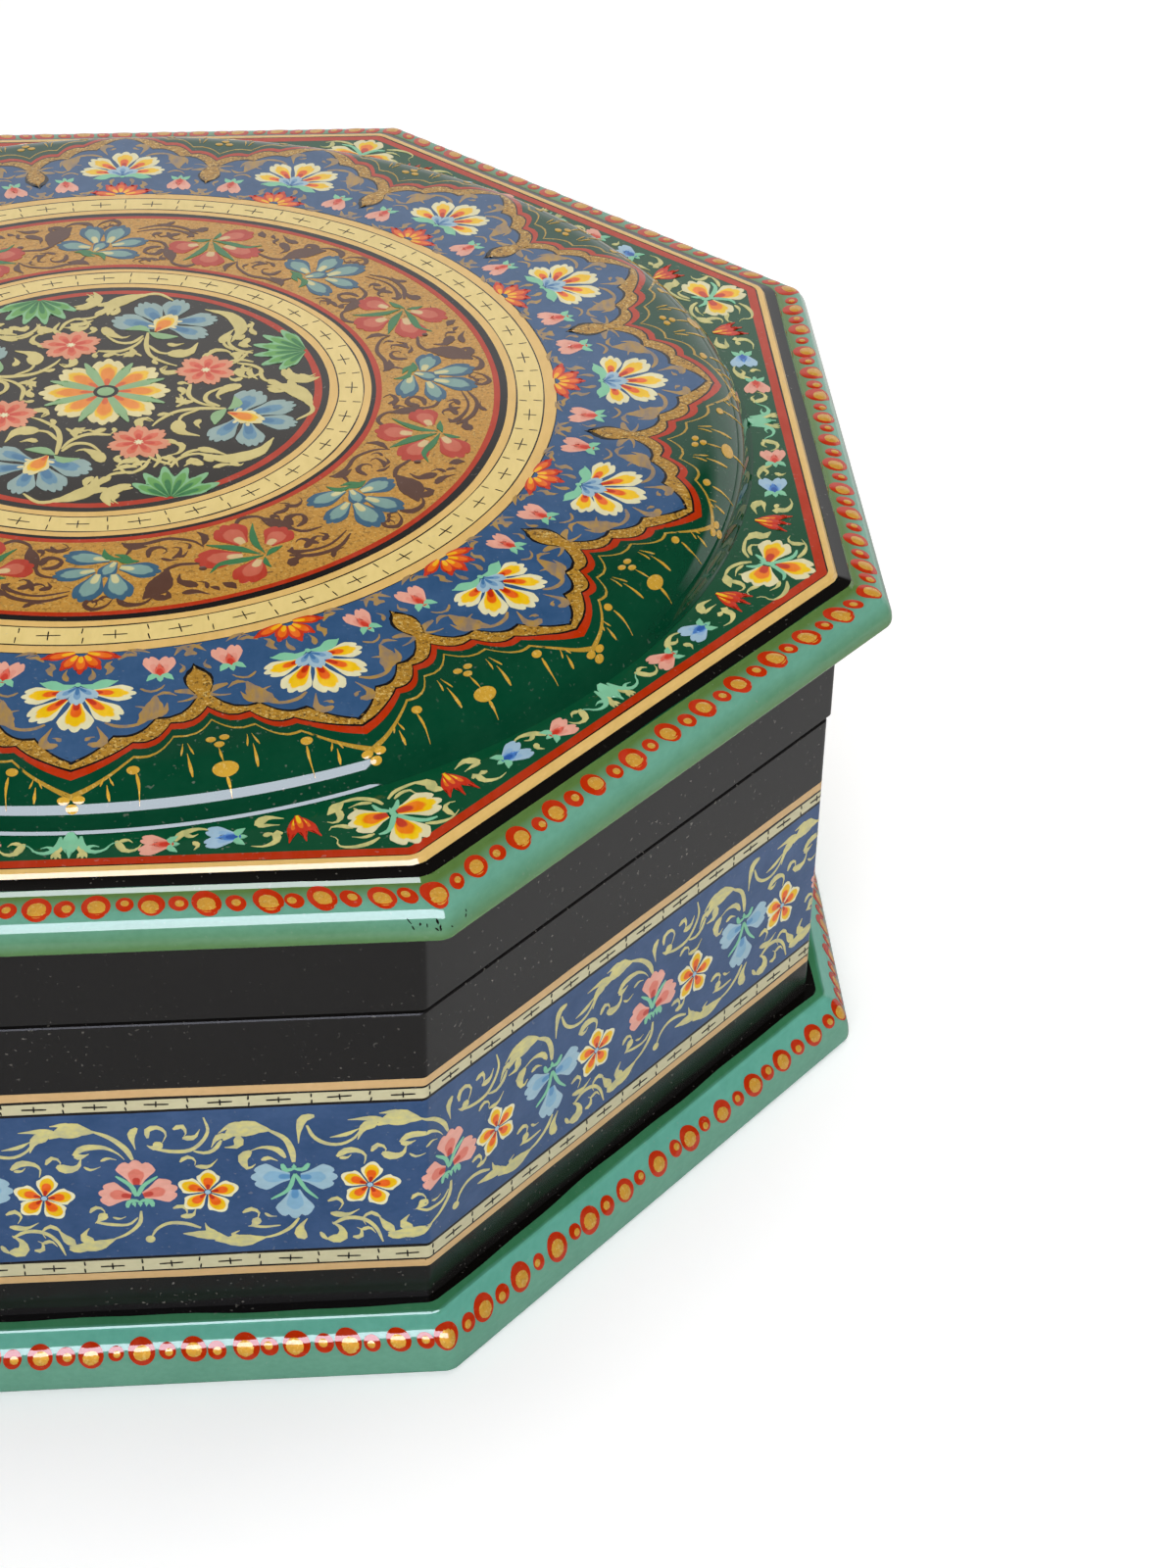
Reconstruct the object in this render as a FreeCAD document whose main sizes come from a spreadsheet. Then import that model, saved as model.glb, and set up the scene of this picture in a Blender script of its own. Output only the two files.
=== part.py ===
import FreeCAD, Part
import math
import os
import Sketcher

# An octagonal trinket box with a lift-off lid, in millimetres.
# It stands on z = 0 with its middle on the z axis, and its front faces -y.
# Two moulded boards carry mitred side panels. Thin strips glued inside the base
# rise above the parting line and hold the lid in place, and a crowned disc sits on the lid.

SIDES = 8
TURN = 360 / SIDES
CORNER_SHARE = math.tan(math.pi / SIDES)

# The side panels in order, anticlockwise from the one that faces +x
PLACES = ("right", "back_right", "back", "back_left", "left", "front_left", "front", "front_right")

SIZES = (
    # Base walls
    ("wall_across", 141.9, "across the flats, outside the walls"),
    ("wall_thick", 4.5, "thickness of a base wall panel"),
    ("wall_rise", 36.5, "from the base board up to the parting line"),
    ("parting_chamfer", 0.3, "broken edge above and below the parting line"),
    # Strips inside the base walls
    ("lip_thick", 2.0, "thickness of a lip strip"),
    ("lip_above", 6.0, "how far the lip stands above the parting line"),
    ("lip_chamfer", 0.6, "lead-in at the top of the lip"),
    ("lid_clearance", 0.3, "gap between the lip and the lid's skirt"),
    # Base board
    ("base_thick", 5.5, "thickness of the base board"),
    ("base_beyond", 4.95, "how far the base board stands out past the walls"),
    ("base_ledge", 1.1, "flat ledge between the wall and the slope"),
    ("base_roll", 2.2, "radius of the rolled edge"),
    ("base_roll_up", 1.5, "height of the roll's centre"),
    ("base_arris", 0.5, "rounding of the lower edge"),
    # Lid skirt
    ("skirt_rise", 11.7, "from the parting line up to the lid board"),
    ("skirt_beyond", 0.35, "how far the skirt stands out past the base walls"),
    # Lid board
    ("lid_thick", 4.7, "thickness of the lid board"),
    ("lid_beyond", 5.25, "how far the lid board stands out past the base walls"),
    ("moulding_wide", 5.5, "width of the moulding round the flat top"),
    ("step_run", 1.7, "width of the step beside the flat top"),
    ("step_drop", 1.2, "height of that step"),
    ("lid_roll", 1.85, "radius of the rolled edge"),
    ("lid_roll_up", 1.2, "height of the roll's centre above the underside"),
    # Medallion
    ("border_wide", 4.7, "flat border between the moulding and the medallion"),
    ("medallion_rise", 5.35, "height of the medallion in its middle"),
    ("crown_radius", 1950.0, "radius of its gently crowned top"),
    ("shoulder_radius", 6.0, "radius of its rounded shoulder"),
    ("cove_radius", 1.7, "radius of the cove at its foot"),
    ("foot_edge", 0.2, "height of its thin outer edge"),
)

doc = FreeCAD.newDocument("octagonal_box")


class Length:
    """A length that holds its formula over the sheet and its value at the start."""

    def __init__(self, text, value):
        self.text = text
        self.value = value

    def __add__(self, other):
        return Length(f"({self.text} + {other.text})", self.value + other.value)

    def __sub__(self, other):
        return Length(f"({self.text} - {other.text})", self.value - other.value)

    def __mul__(self, share):
        return Length(f"({self.text} * {share!r})", self.value * share)


ZERO = Length("0 mm", 0.0)


def make_sheet():
    """Write the driving sizes into the sheet, one row each."""
    sheet = doc.addObject("Spreadsheet::Sheet", "Sizes")
    for row, (alias, value, note) in enumerate(SIZES, start=1):
        sheet.set(f"A{row}", note)
        sheet.set(f"B{row}", str(value))
        sheet.setAlias(f"B{row}", alias)
    doc.recompute()
    return sheet


sheet = make_sheet()


def size(alias):
    """One driving size, read from the sheet."""
    return Length(f"Sizes.{alias}", float(sheet.get(alias)))


# What follows from the driving sizes. A half is measured from the middle to a flat.
wall_half = size("wall_across") * 0.5
lip_outer = wall_half - size("wall_thick")
lip_inner = lip_outer - size("lip_thick")
skirt_outer = wall_half + size("skirt_beyond")
skirt_inner = lip_outer + size("lid_clearance")
base_half = wall_half + size("base_beyond")
lid_half = wall_half + size("lid_beyond")
flat_half = lid_half - size("moulding_wide")
medallion_radius = flat_half - size("border_wide")
parting_up = size("base_thick") + size("wall_rise")
lid_board_up = parting_up + size("skirt_rise")
medallion_up = lid_board_up + size("lid_thick")


def new_body(label, up):
    """A body whose foot stands at the height up."""
    body = doc.addObject("PartDesign::Body", label)
    body.Label = label
    body.setExpression("Placement.Base.z", up.text)
    return body


def new_sketch(body, name, role):
    """A sketch on one of the body's own origin planes."""
    planes = [plane for plane in body.Origin.OriginFeatures if plane.Role == role]
    sketch = body.newObject("Sketcher::SketchObject", f"{body.Label}_{name}")
    sketch.AttachmentSupport = [(planes[0], "")]
    sketch.MapMode = "FlatFace"
    return sketch


def constrain(sketch, *facts):
    """Add one constraint and return its index."""
    return sketch.addConstraint(Sketcher.Constraint(*facts))


def drive(sketch, index, length):
    """Bind a constraint's value to a formula."""
    sketch.setExpression(f"Constraints[{index}]", length.text)


def pin(sketch, geo, end, across=None, up=None):
    """Hold a point of the sketch at its distances from the sketch's origin."""
    if across is not None:
        index = constrain(sketch, "DistanceX", -1, 1, geo, end, across.value)
        drive(sketch, index, across)
    if up is not None:
        index = constrain(sketch, "DistanceY", -1, 1, geo, end, up.value)
        drive(sketch, index, up)


def set_radius(sketch, geo, length):
    """Bind an arc's radius."""
    drive(sketch, constrain(sketch, "Radius", geo, length.value), length)


def line(sketch, start, end):
    """A straight edge between two (across, up) pairs of numbers."""
    segment = Part.LineSegment(FreeCAD.Vector(*start), FreeCAD.Vector(*end))
    return sketch.addGeometry(segment, False)


def arc(sketch, centre, radius, first, last):
    """An arc that runs anticlockwise between two angles in radians."""
    circle = Part.Circle(FreeCAD.Vector(*centre), FreeCAD.Vector(0, 0, 1), radius)
    return sketch.addGeometry(Part.ArcOfCircle(circle, first, last), False)


def join(sketch, links):
    """Make pairs of ends coincide, each link being (geo, end, geo, end)."""
    for link in links:
        constrain(sketch, "Coincident", *link)


def corner_points(half):
    """The octagon's corners, anticlockwise from the one just above +x."""
    reach = half.value / math.cos(math.pi / SIDES)
    angles = [math.radians(TURN * (step + 0.5)) for step in range(SIDES)]
    return [(reach * math.cos(angle), reach * math.sin(angle)) for angle in angles]


def close_octagon(sketch, half, sides):
    """Hold a run of octagon sides in place by a driven circle through the corners."""
    reach = half * (1 / math.cos(math.pi / SIDES))
    circle = Part.Circle(FreeCAD.Vector(0, 0), FreeCAD.Vector(0, 0, 1), reach.value)
    guide = sketch.addGeometry(circle, True)
    constrain(sketch, "Coincident", guide, 3, -1, 1)
    set_radius(sketch, guide, reach)
    for first, second in zip(sides, sides[1:]):
        constrain(sketch, "Coincident", first, 2, second, 1)
        constrain(sketch, "PointOnObject", second, 1, guide)
    return guide


def octagon_face(sketch, half):
    """A closed octagon with a side square to +x."""
    corners = corner_points(half)
    sides = [line(sketch, corners[step - 1], corners[step]) for step in range(SIDES)]
    guide = close_octagon(sketch, half, sides)
    constrain(sketch, "Coincident", sides[-1], 2, sides[0], 1)
    constrain(sketch, "PointOnObject", sides[0], 1, guide)
    for side in sides[1:]:
        constrain(sketch, "Equal", sides[0], side)
    constrain(sketch, "Vertical", sides[0])


def octagon_path(sketch, half):
    """The way round the octagon, from the middle of the +x side and back to it."""
    middle = (half.value, 0.0)
    stops = [middle] + corner_points(half) + [middle]
    sides = [line(sketch, first, second) for first, second in zip(stops, stops[1:])]
    close_octagon(sketch, half, sides)
    for side in sides[2:-1]:
        constrain(sketch, "Equal", sides[1], side)
    pin(sketch, sides[0], 1, across=half)
    constrain(sketch, "PointOnObject", sides[0], 1, -1)
    constrain(sketch, "Vertical", sides[0])
    constrain(sketch, "Vertical", sides[-1])
    constrain(sketch, "Coincident", sides[-1], 2, sides[0], 1)


def moulded_board(label, up, core_half, thick, draw_edge):
    """An octagonal board: a plain core, and an edge profile mitred round it."""
    body = new_body(label, up)
    face = new_sketch(body, "core_outline", "XY_Plane")
    octagon_face(face, core_half)
    core = body.newObject("PartDesign::Pad", f"{label}_core")
    core.Profile = face
    core.setExpression("Length", thick.text)
    path = new_sketch(body, "edge_path", "XY_Plane")
    octagon_path(path, core_half)
    profile = new_sketch(body, "edge_profile", "XZ_Plane")
    draw_edge(profile, core_half)
    edge = body.newObject("PartDesign::AdditivePipe", f"{label}_edge")
    edge.Profile = profile
    edge.Spine = path
    edge.Transition = "Right corner"
    doc.recompute()
    if edge.Shape.Volume <= core.Shape.Volume:
        raise RuntimeError(f"{label}: the edge added nothing")
    return body


def touch_point(centre, radius, point):
    """The angle at which a line from the point grazes the circle on its upper right."""
    away_x = point[0] - centre[0]
    away_y = point[1] - centre[1]
    reach = math.hypot(away_x, away_y)
    return math.atan2(away_y, away_x) - math.acos(radius / reach)


def base_edge(sketch, core_half):
    """A ledge beside the wall, a slope, a rolled edge and a short upright face."""
    thick = size("base_thick")
    roll = size("base_roll")
    roll_across = base_half - roll
    roll_up = size("base_roll_up")
    arris = size("base_arris")
    ledge = wall_half + size("base_ledge")
    centre = (roll_across.value, roll_up.value)
    slope_start = (ledge.value, thick.value)
    graze = touch_point(centre, roll.value, slope_start)
    touch = (centre[0] + roll.value * math.cos(graze), centre[1] + roll.value * math.sin(graze))
    foot_end = (base_half.value - arris.value, 0.0)
    upright_foot = (base_half.value, arris.value)
    upright_head = (base_half.value, roll_up.value)
    under = line(sketch, (core_half.value, 0.0), foot_end)
    low = arc(sketch, (foot_end[0], arris.value), arris.value, -math.pi / 2, 0)
    upright = line(sketch, upright_foot, upright_head)
    nose = arc(sketch, centre, roll.value, 0, graze)
    slope = line(sketch, touch, slope_start)
    top = line(sketch, slope_start, (core_half.value, thick.value))
    inner = line(sketch, (core_half.value, thick.value), (core_half.value, 0.0))
    join(sketch, ((top, 2, inner, 1), (inner, 2, under, 1), (slope, 2, top, 1)))
    constrain(sketch, "Tangent", under, 2, low, 1)
    constrain(sketch, "Tangent", low, 2, upright, 1)
    constrain(sketch, "Tangent", upright, 2, nose, 1)
    constrain(sketch, "Tangent", nose, 2, slope, 1)
    constrain(sketch, "PointOnObject", under, 1, -1)
    constrain(sketch, "Horizontal", under)
    constrain(sketch, "Vertical", upright)
    constrain(sketch, "Vertical", inner)
    constrain(sketch, "Horizontal", top)
    pin(sketch, inner, 2, across=core_half)
    pin(sketch, top, 1, across=ledge, up=thick)
    pin(sketch, nose, 3, up=roll_up)
    pin(sketch, upright, 2, across=base_half)
    set_radius(sketch, low, arris)
    set_radius(sketch, nose, roll)


def lid_edge(sketch, core_half):
    """A step down from the flat top, a sloping shelf and a rolled edge cut off below."""
    thick = size("lid_thick")
    roll = size("lid_roll")
    roll_across = lid_half - roll
    roll_up = size("lid_roll_up")
    step_across = flat_half + size("step_run")
    step_up = thick - size("step_drop")
    centre = (roll_across.value, roll_up.value)
    step_foot = (step_across.value, step_up.value)
    graze = touch_point(centre, roll.value, step_foot)
    touch = (centre[0] + roll.value * math.cos(graze), centre[1] + roll.value * math.sin(graze))
    under_angle = -math.asin(roll_up.value / roll.value)
    under_end = (centre[0] + roll.value * math.cos(under_angle), 0.0)
    under = line(sketch, (core_half.value, 0.0), under_end)
    nose = arc(sketch, centre, roll.value, under_angle, graze)
    shelf = line(sketch, touch, step_foot)
    step = line(sketch, step_foot, (flat_half.value, thick.value))
    top = line(sketch, (flat_half.value, thick.value), (core_half.value, thick.value))
    inner = line(sketch, (core_half.value, thick.value), (core_half.value, 0.0))
    join(sketch, ((top, 2, inner, 1), (inner, 2, under, 1), (under, 2, nose, 1)))
    join(sketch, ((shelf, 2, step, 1), (step, 2, top, 1)))
    constrain(sketch, "Tangent", nose, 2, shelf, 1)
    constrain(sketch, "PointOnObject", under, 1, -1)
    constrain(sketch, "Horizontal", under)
    constrain(sketch, "Vertical", inner)
    constrain(sketch, "Horizontal", top)
    pin(sketch, inner, 2, across=core_half)
    pin(sketch, step, 1, across=step_across, up=step_up)
    pin(sketch, top, 1, across=flat_half, up=thick)
    pin(sketch, nose, 3, across=roll_across, up=roll_up)
    set_radius(sketch, nose, roll)


def edges_at(shape, across, up):
    """Names of the straight edges that lie at one distance from the middle and one height."""
    names = []
    near = 1e-6 * wall_half.value
    for number, edge in enumerate(shape.Edges, start=1):
        spots = [vertex.Point for vertex in edge.Vertexes]
        if all(abs(spot.x - across) < near and abs(spot.z - up) < near for spot in spots):
            names.append(f"Edge{number}")
    return names


def mitred_panel(label, step, up, outer, inner, rise, broken_up, chamfer):
    """One flat side panel with mitred ends, and one long outer edge broken by a chamfer."""
    body = new_body(label, up)
    body.Placement = FreeCAD.Placement(
        FreeCAD.Vector(0, 0, up.value), FreeCAD.Rotation(FreeCAD.Vector(0, 0, 1), TURN * step)
    )
    plan = new_sketch(body, "plan", "XY_Plane")
    far = outer.value * CORNER_SHARE
    near = inner.value * CORNER_SHARE
    face = line(plan, (outer.value, -far), (outer.value, far))
    mitre = line(plan, (outer.value, far), (inner.value, near))
    back = line(plan, (inner.value, near), (inner.value, -near))
    other = line(plan, (inner.value, -near), (outer.value, -far))
    join(plan, ((face, 2, mitre, 1), (mitre, 2, back, 1), (back, 2, other, 1), (other, 2, face, 1)))
    pin(plan, face, 2, across=outer, up=outer * CORNER_SHARE)
    pin(plan, back, 1, across=inner, up=inner * CORNER_SHARE)
    constrain(plan, "Symmetric", face, 1, face, 2, -1)
    constrain(plan, "Symmetric", back, 1, back, 2, -1)
    board = body.newObject("PartDesign::Pad", f"{label}_board")
    board.Profile = plan
    board.setExpression("Length", rise.text)
    doc.recompute()
    broken = body.newObject("PartDesign::Chamfer", f"{label}_chamfer")
    broken.Base = (board, edges_at(board.Shape, outer.value, broken_up.value))
    broken.setExpression("Size", chamfer.text)
    doc.recompute()
    if broken.Shape.Volume >= board.Shape.Volume:
        raise RuntimeError(f"{label}: the chamfer cut nothing")
    return body


def base_walls():
    """The mitred panels between the base board and the parting line."""
    rise = size("wall_rise")
    chamfer = size("parting_chamfer")
    return [
        mitred_panel(f"wall_{place}", step, size("base_thick"), wall_half, lip_outer,
                     rise, rise, chamfer)
        for step, place in enumerate(PLACES)
    ]


def lip_strips():
    """Strips glued inside the walls, from the base board to above the parting line."""
    rise = size("wall_rise") + size("lip_above")
    chamfer = size("lip_chamfer")
    return [
        mitred_panel(f"lip_{place}", step, size("base_thick"), lip_outer, lip_inner,
                     rise, rise, chamfer)
        for step, place in enumerate(PLACES)
    ]


def lid_skirts():
    """The mitred panels that hang from the lid board and rest on the walls."""
    chamfer = size("parting_chamfer")
    return [
        mitred_panel(f"skirt_{place}", step, parting_up, skirt_outer, skirt_inner,
                     size("skirt_rise"), ZERO, chamfer)
        for step, place in enumerate(PLACES)
    ]


def unit(start, end):
    """The direction from one point to another, as a pair."""
    reach = math.dist(start, end)
    return ((end[0] - start[0]) / reach, (end[1] - start[1]) / reach)


def shoulder_centre(crown, crown_reach, cove, cove_reach):
    """Where circles round the crown's and the cove's centres meet, on the inner side."""
    gap = math.dist(crown, cove)
    along = (crown_reach ** 2 - cove_reach ** 2 + gap ** 2) / (2 * gap)
    off = math.sqrt(crown_reach ** 2 - along ** 2)
    toward = unit(crown, cove)
    return (crown[0] + along * toward[0] - off * toward[1],
            crown[1] + along * toward[1] + off * toward[0])


def medallion():
    """A round disc with a gently crowned top, a rounded shoulder and a coved foot."""
    body = new_body("medallion", medallion_up)
    section = new_sketch(body, "section", "XZ_Plane")
    rise = size("medallion_rise")
    edge = size("foot_edge")
    crown_r = size("crown_radius")
    shoulder_r = size("shoulder_radius")
    cove_r = size("cove_radius")
    crown_at = (0.0, rise.value - crown_r.value)
    cove_at = (medallion_radius.value, edge.value + cove_r.value)
    shoulder_at = shoulder_centre(crown_at, crown_r.value - shoulder_r.value,
                                  cove_at, shoulder_r.value + cove_r.value)
    crown_way = unit(crown_at, shoulder_at)
    cove_way = unit(shoulder_at, cove_at)
    crown_end = math.atan2(crown_way[1], crown_way[0])
    cove_end = math.atan2(cove_way[1], cove_way[0])
    rim_foot = (medallion_radius.value, 0.0)
    rim_head = (medallion_radius.value, edge.value)
    under = line(section, (0.0, 0.0), rim_foot)
    rim = line(section, rim_foot, rim_head)
    cove = arc(section, cove_at, cove_r.value, cove_end + math.pi, 1.5 * math.pi)
    shoulder = arc(section, shoulder_at, shoulder_r.value, cove_end, crown_end)
    crown = arc(section, crown_at, crown_r.value, crown_end, math.pi / 2)
    middle = line(section, (0.0, rise.value), (0.0, 0.0))
    join(section, ((under, 2, rim, 1), (rim, 2, cove, 2), (crown, 2, middle, 1)))
    constrain(section, "Coincident", middle, 2, under, 1)
    constrain(section, "Tangent", cove, 1, shoulder, 1)
    constrain(section, "Tangent", shoulder, 2, crown, 1)
    constrain(section, "Coincident", under, 1, -1, 1)
    constrain(section, "Horizontal", under)
    constrain(section, "Vertical", rim)
    constrain(section, "Vertical", middle)
    constrain(section, "PointOnObject", crown, 3, -2)
    pin(section, rim, 2, across=medallion_radius, up=edge)
    pin(section, cove, 3, across=medallion_radius)
    pin(section, middle, 1, up=rise)
    set_radius(section, cove, cove_r)
    set_radius(section, shoulder, shoulder_r)
    set_radius(section, crown, crown_r)
    disc = body.newObject("PartDesign::Revolution", "medallion_disc")
    disc.Profile = section
    disc.ReferenceAxis = (section, ["V_Axis"])
    disc.Angle = 360
    doc.recompute()
    return body


def base_board():
    """The board that the box stands on."""
    return moulded_board("base_board", ZERO, lip_outer, size("base_thick"), base_edge)


def lid_board():
    """The board over the lid's skirt, which carries the medallion."""
    return moulded_board("lid_board", lid_board_up, skirt_inner, size("lid_thick"), lid_edge)


def check(parts):
    """Stop if any object failed, or a sub-part has no single valid solid."""
    for item in doc.Objects:
        if "Invalid" in item.State or "Error" in item.State:
            raise RuntimeError(f"{item.Label}: {item.State}")
        if item.TypeId == "Sketcher::SketchObject" and not item.FullyConstrained:
            raise RuntimeError(f"{item.Label}: a point of it is free")
    for part in parts:
        shape = part.Shape
        if shape.isNull() or not shape.isValid() or len(shape.Solids) != 1:
            raise RuntimeError(f"{part.Label}: bad shape")


parts = [base_board(), *base_walls(), *lip_strips(), lid_board(), *lid_skirts(), medallion()]
doc.recompute()
check(parts)
os.makedirs("parts", exist_ok=True)
for part in parts:
    part.Shape.exportStep(f"parts/{part.Label}.step")
    box = part.Shape.optimalBoundingBox(False)
    print(f"{part.Label}: {part.Shape.Volume:.0f} mm3, x {box.XMin:.2f} to {box.XMax:.2f},"
          f" z {box.ZMin:.2f} to {box.ZMax:.2f}")
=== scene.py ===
import math
import random
import bpy
import bmesh
from mathutils import Vector, Matrix


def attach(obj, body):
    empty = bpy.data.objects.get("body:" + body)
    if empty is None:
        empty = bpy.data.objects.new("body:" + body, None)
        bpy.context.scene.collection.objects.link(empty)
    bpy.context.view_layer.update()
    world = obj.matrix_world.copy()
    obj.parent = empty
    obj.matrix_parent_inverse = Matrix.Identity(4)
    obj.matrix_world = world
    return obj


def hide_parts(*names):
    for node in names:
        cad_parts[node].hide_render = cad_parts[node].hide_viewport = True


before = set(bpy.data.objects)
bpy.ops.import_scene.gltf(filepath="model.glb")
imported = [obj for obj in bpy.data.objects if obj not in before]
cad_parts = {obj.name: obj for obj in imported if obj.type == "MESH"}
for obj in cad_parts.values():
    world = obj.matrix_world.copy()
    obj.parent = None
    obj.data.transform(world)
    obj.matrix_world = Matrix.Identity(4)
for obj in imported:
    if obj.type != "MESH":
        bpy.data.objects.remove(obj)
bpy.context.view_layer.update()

MM = 0.001
VARNISH_IOR = 1.56
TURN = 2 * math.pi
EIGHTH = math.pi / 4
hand = random.Random(17)

# In metres: points this close are one point, and an edge this close to a mitre lies in it.
MERGE = 2e-7
IN_MITRE = 1e-7

# Main lengths of the box, in millimetres above its underside or out from its middle.
LID_TOP = 58.4
WALL_OUT = 70.95
WALL_EASE = 0.7
BOARD_EASE = 1.6
DOTS_OUT = 74.5
LEAD = 0.25


def srgb(code):
    """A painter's colour written as six hex digits, as linear light."""
    parts = [int(code[i:i + 2], 16) / 255 for i in (0, 2, 4)]
    return [p / 12.92 if p <= 0.04045 else ((p + 0.055) / 1.055) ** 2.4 for p in parts] + [1.0]


class Nodes:
    """Short hand for setting nodes in one tree."""

    def __init__(self, tree):
        self.tree = tree

    def add(self, kind, **values):
        node = self.tree.nodes.new(kind)
        for name, value in values.items():
            setattr(node, name, value)
        return node

    def put(self, socket, value):
        if isinstance(value, bpy.types.NodeSocket):
            self.tree.links.new(value, socket)
        else:
            socket.default_value = value

    def math(self, operation, a, b=0.0, clamp=False):
        node = self.add("ShaderNodeMath", operation=operation, use_clamp=clamp)
        self.put(node.inputs[0], a)
        self.put(node.inputs[1], b)
        return node.outputs[0]

    def plus(self, a, b, clamp=False):
        return self.math("ADD", a, b, clamp)

    def minus(self, a, b):
        return self.math("SUBTRACT", a, b)

    def times(self, a, b, clamp=False):
        return self.math("MULTIPLY", a, b, clamp)

    def mix(self, share, a, b):
        node = self.add("ShaderNodeMix", data_type="RGBA")
        self.put(node.inputs["Factor"], share)
        self.put(node.inputs[6], a)
        self.put(node.inputs[7], b)
        return node.outputs[2]

    def place(self):
        return self.add("ShaderNodeTexCoord").outputs["Object"]

    def split(self, vector):
        node = self.add("ShaderNodeSeparateXYZ")
        self.put(node.inputs[0], vector)
        return node.outputs

    def group(self, tree, **values):
        """A group set in this tree, with values or results for its inputs."""
        node = self.add("ShaderNodeGroup", node_tree=tree)
        for label, value in values.items():
            self.put(node.inputs[label], value)
        return node

    def noise(self, where, scale, detail=3.0, rough=0.5):
        node = self.add("ShaderNodeTexNoise")
        self.put(node.inputs["Vector"], where)
        self.put(node.inputs["Scale"], scale)
        self.put(node.inputs["Detail"], detail)
        self.put(node.inputs["Roughness"], rough)
        return node.outputs[0]

    def ramp(self, value, low, high, out_low=0.0, out_high=1.0):
        node = self.add("ShaderNodeMapRange", clamp=True)
        self.put(node.inputs["Value"], value)
        self.put(node.inputs["From Min"], low)
        self.put(node.inputs["From Max"], high)
        self.put(node.inputs["To Min"], out_low)
        self.put(node.inputs["To Max"], out_high)
        return node.outputs[0]


def new_group(name, inputs, outputs):
    """A shader group. Inputs have first values, four numbers for a colour. The output Color is a colour."""
    group = bpy.data.node_groups.new(name, "ShaderNodeTree")
    for label, value in inputs.items():
        kind = "NodeSocketColor" if isinstance(value, tuple) else "NodeSocketFloat"
        socket = group.interface.new_socket(label, in_out="INPUT", socket_type=kind)
        socket.default_value = value
    for label in outputs:
        kind = "NodeSocketColor" if label == "Color" else "NodeSocketFloat"
        group.interface.new_socket(label, in_out="OUTPUT", socket_type=kind)
    nodes = Nodes(group)
    return group, nodes, nodes.add("NodeGroupInput"), nodes.add("NodeGroupOutput")


def make_brushed_pigment():
    """Hand-laid paint under varnish: uneven tone, fine brush drag and dust."""
    group, n, into, out = new_group(
        "brushed pigment",
        {"Color": (0.5, 0.5, 0.5, 1), "Unevenness": 0.12, "Drag": 0.08, "Dust": 0.25,
         "Ground": (0.1, 0.1, 0.1, 1),
         "Dryness": 0.0},
        ("Color", "Roughness", "Height"))
    place = n.place()
    cloud = n.noise(place, 260.0, 4.0, 0.6)
    stretch = n.add("ShaderNodeMapping")
    n.put(stretch.inputs["Vector"], place)
    stretch.inputs["Scale"].default_value = (900.0, 240.0, 1500.0)
    drag = n.noise(stretch.outputs[0], 1.6, 2.0, 0.5)
    tone = n.plus(n.times(n.minus(cloud, 0.5), into.outputs["Unevenness"]),
                  n.times(n.minus(drag, 0.5), into.outputs["Drag"]))
    bright = n.add("ShaderNodeHueSaturation")
    n.put(bright.inputs["Color"], into.outputs["Color"])
    n.put(bright.inputs["Value"], n.plus(1.0, n.times(tone, 2.0)))
    n.put(bright.inputs["Saturation"], n.minus(1.0, n.times(tone, 0.6)))
    gaps = n.ramp(n.plus(n.times(drag, 0.6), n.times(n.noise(place, 700.0, 3.0, 0.6), 0.4)), 0.40, 0.62)
    covered = n.mix(n.times(gaps, into.outputs["Dryness"]), bright.outputs[0], into.outputs["Ground"])
    specks = n.ramp(n.noise(place, 2300.0, 1.0, 0.4), 0.70, 0.77)
    settled = n.ramp(n.noise(place, 55.0, 2.0, 0.5), 0.40, 0.66, 0.15, 1.0)
    dust = n.times(n.times(specks, settled), into.outputs["Dust"])
    n.put(out.inputs["Color"], n.mix(dust, covered, (0.42, 0.39, 0.34, 1)))
    n.put(out.inputs["Roughness"], n.plus(0.34, n.times(cloud, 0.12)))
    n.put(out.inputs["Height"], n.plus(n.times(drag, 0.6), cloud))
    return group


def make_petal_washes():
    """A petal laid in washes from edge to root, each inside the one before, placed by the petal's own map."""
    group, n, into, out = new_group(
        "petal washes",
        {"Edge": (0.8, 0.8, 0.6, 1), "First": (0.8, 0.6, 0.1, 1), "Second": (0.8, 0.3, 0.1, 1),
         "Root": (0.5, 0.1, 0.05, 1), "First reach": 0.74, "Second reach": 0.5, "Root reach": 0.3},
        ("Color",))
    own = n.add("ShaderNodeUVMap", uv_map="petal")
    beside_root, from_root, _ = n.split(own.outputs[0])
    across = n.math("ABSOLUTE", n.minus(n.times(beside_root, 2.0), 1.0))
    place = n.place()
    drift = n.times(n.minus(n.noise(place, 1500.0, 2.0), 0.5), 0.34)
    color = into.outputs["Edge"]
    for name, soft in (("First", 0.10), ("Second", 0.16), ("Root", 0.22)):
        reach = into.outputs[name + " reach"]
        ahead = n.math("POWER", n.math("DIVIDE", from_root, reach), 2.6)
        beside = n.math("POWER", n.math("DIVIDE", across, n.plus(n.times(reach, 0.55), 0.38)), 2.6)
        far = n.plus(n.plus(ahead, beside), drift)
        color = n.mix(n.ramp(far, 1.0 - soft, 1.0 + soft, 1.0, 0.0), color, into.outputs[name])
    n.put(out.inputs["Color"], color)
    return group


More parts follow.
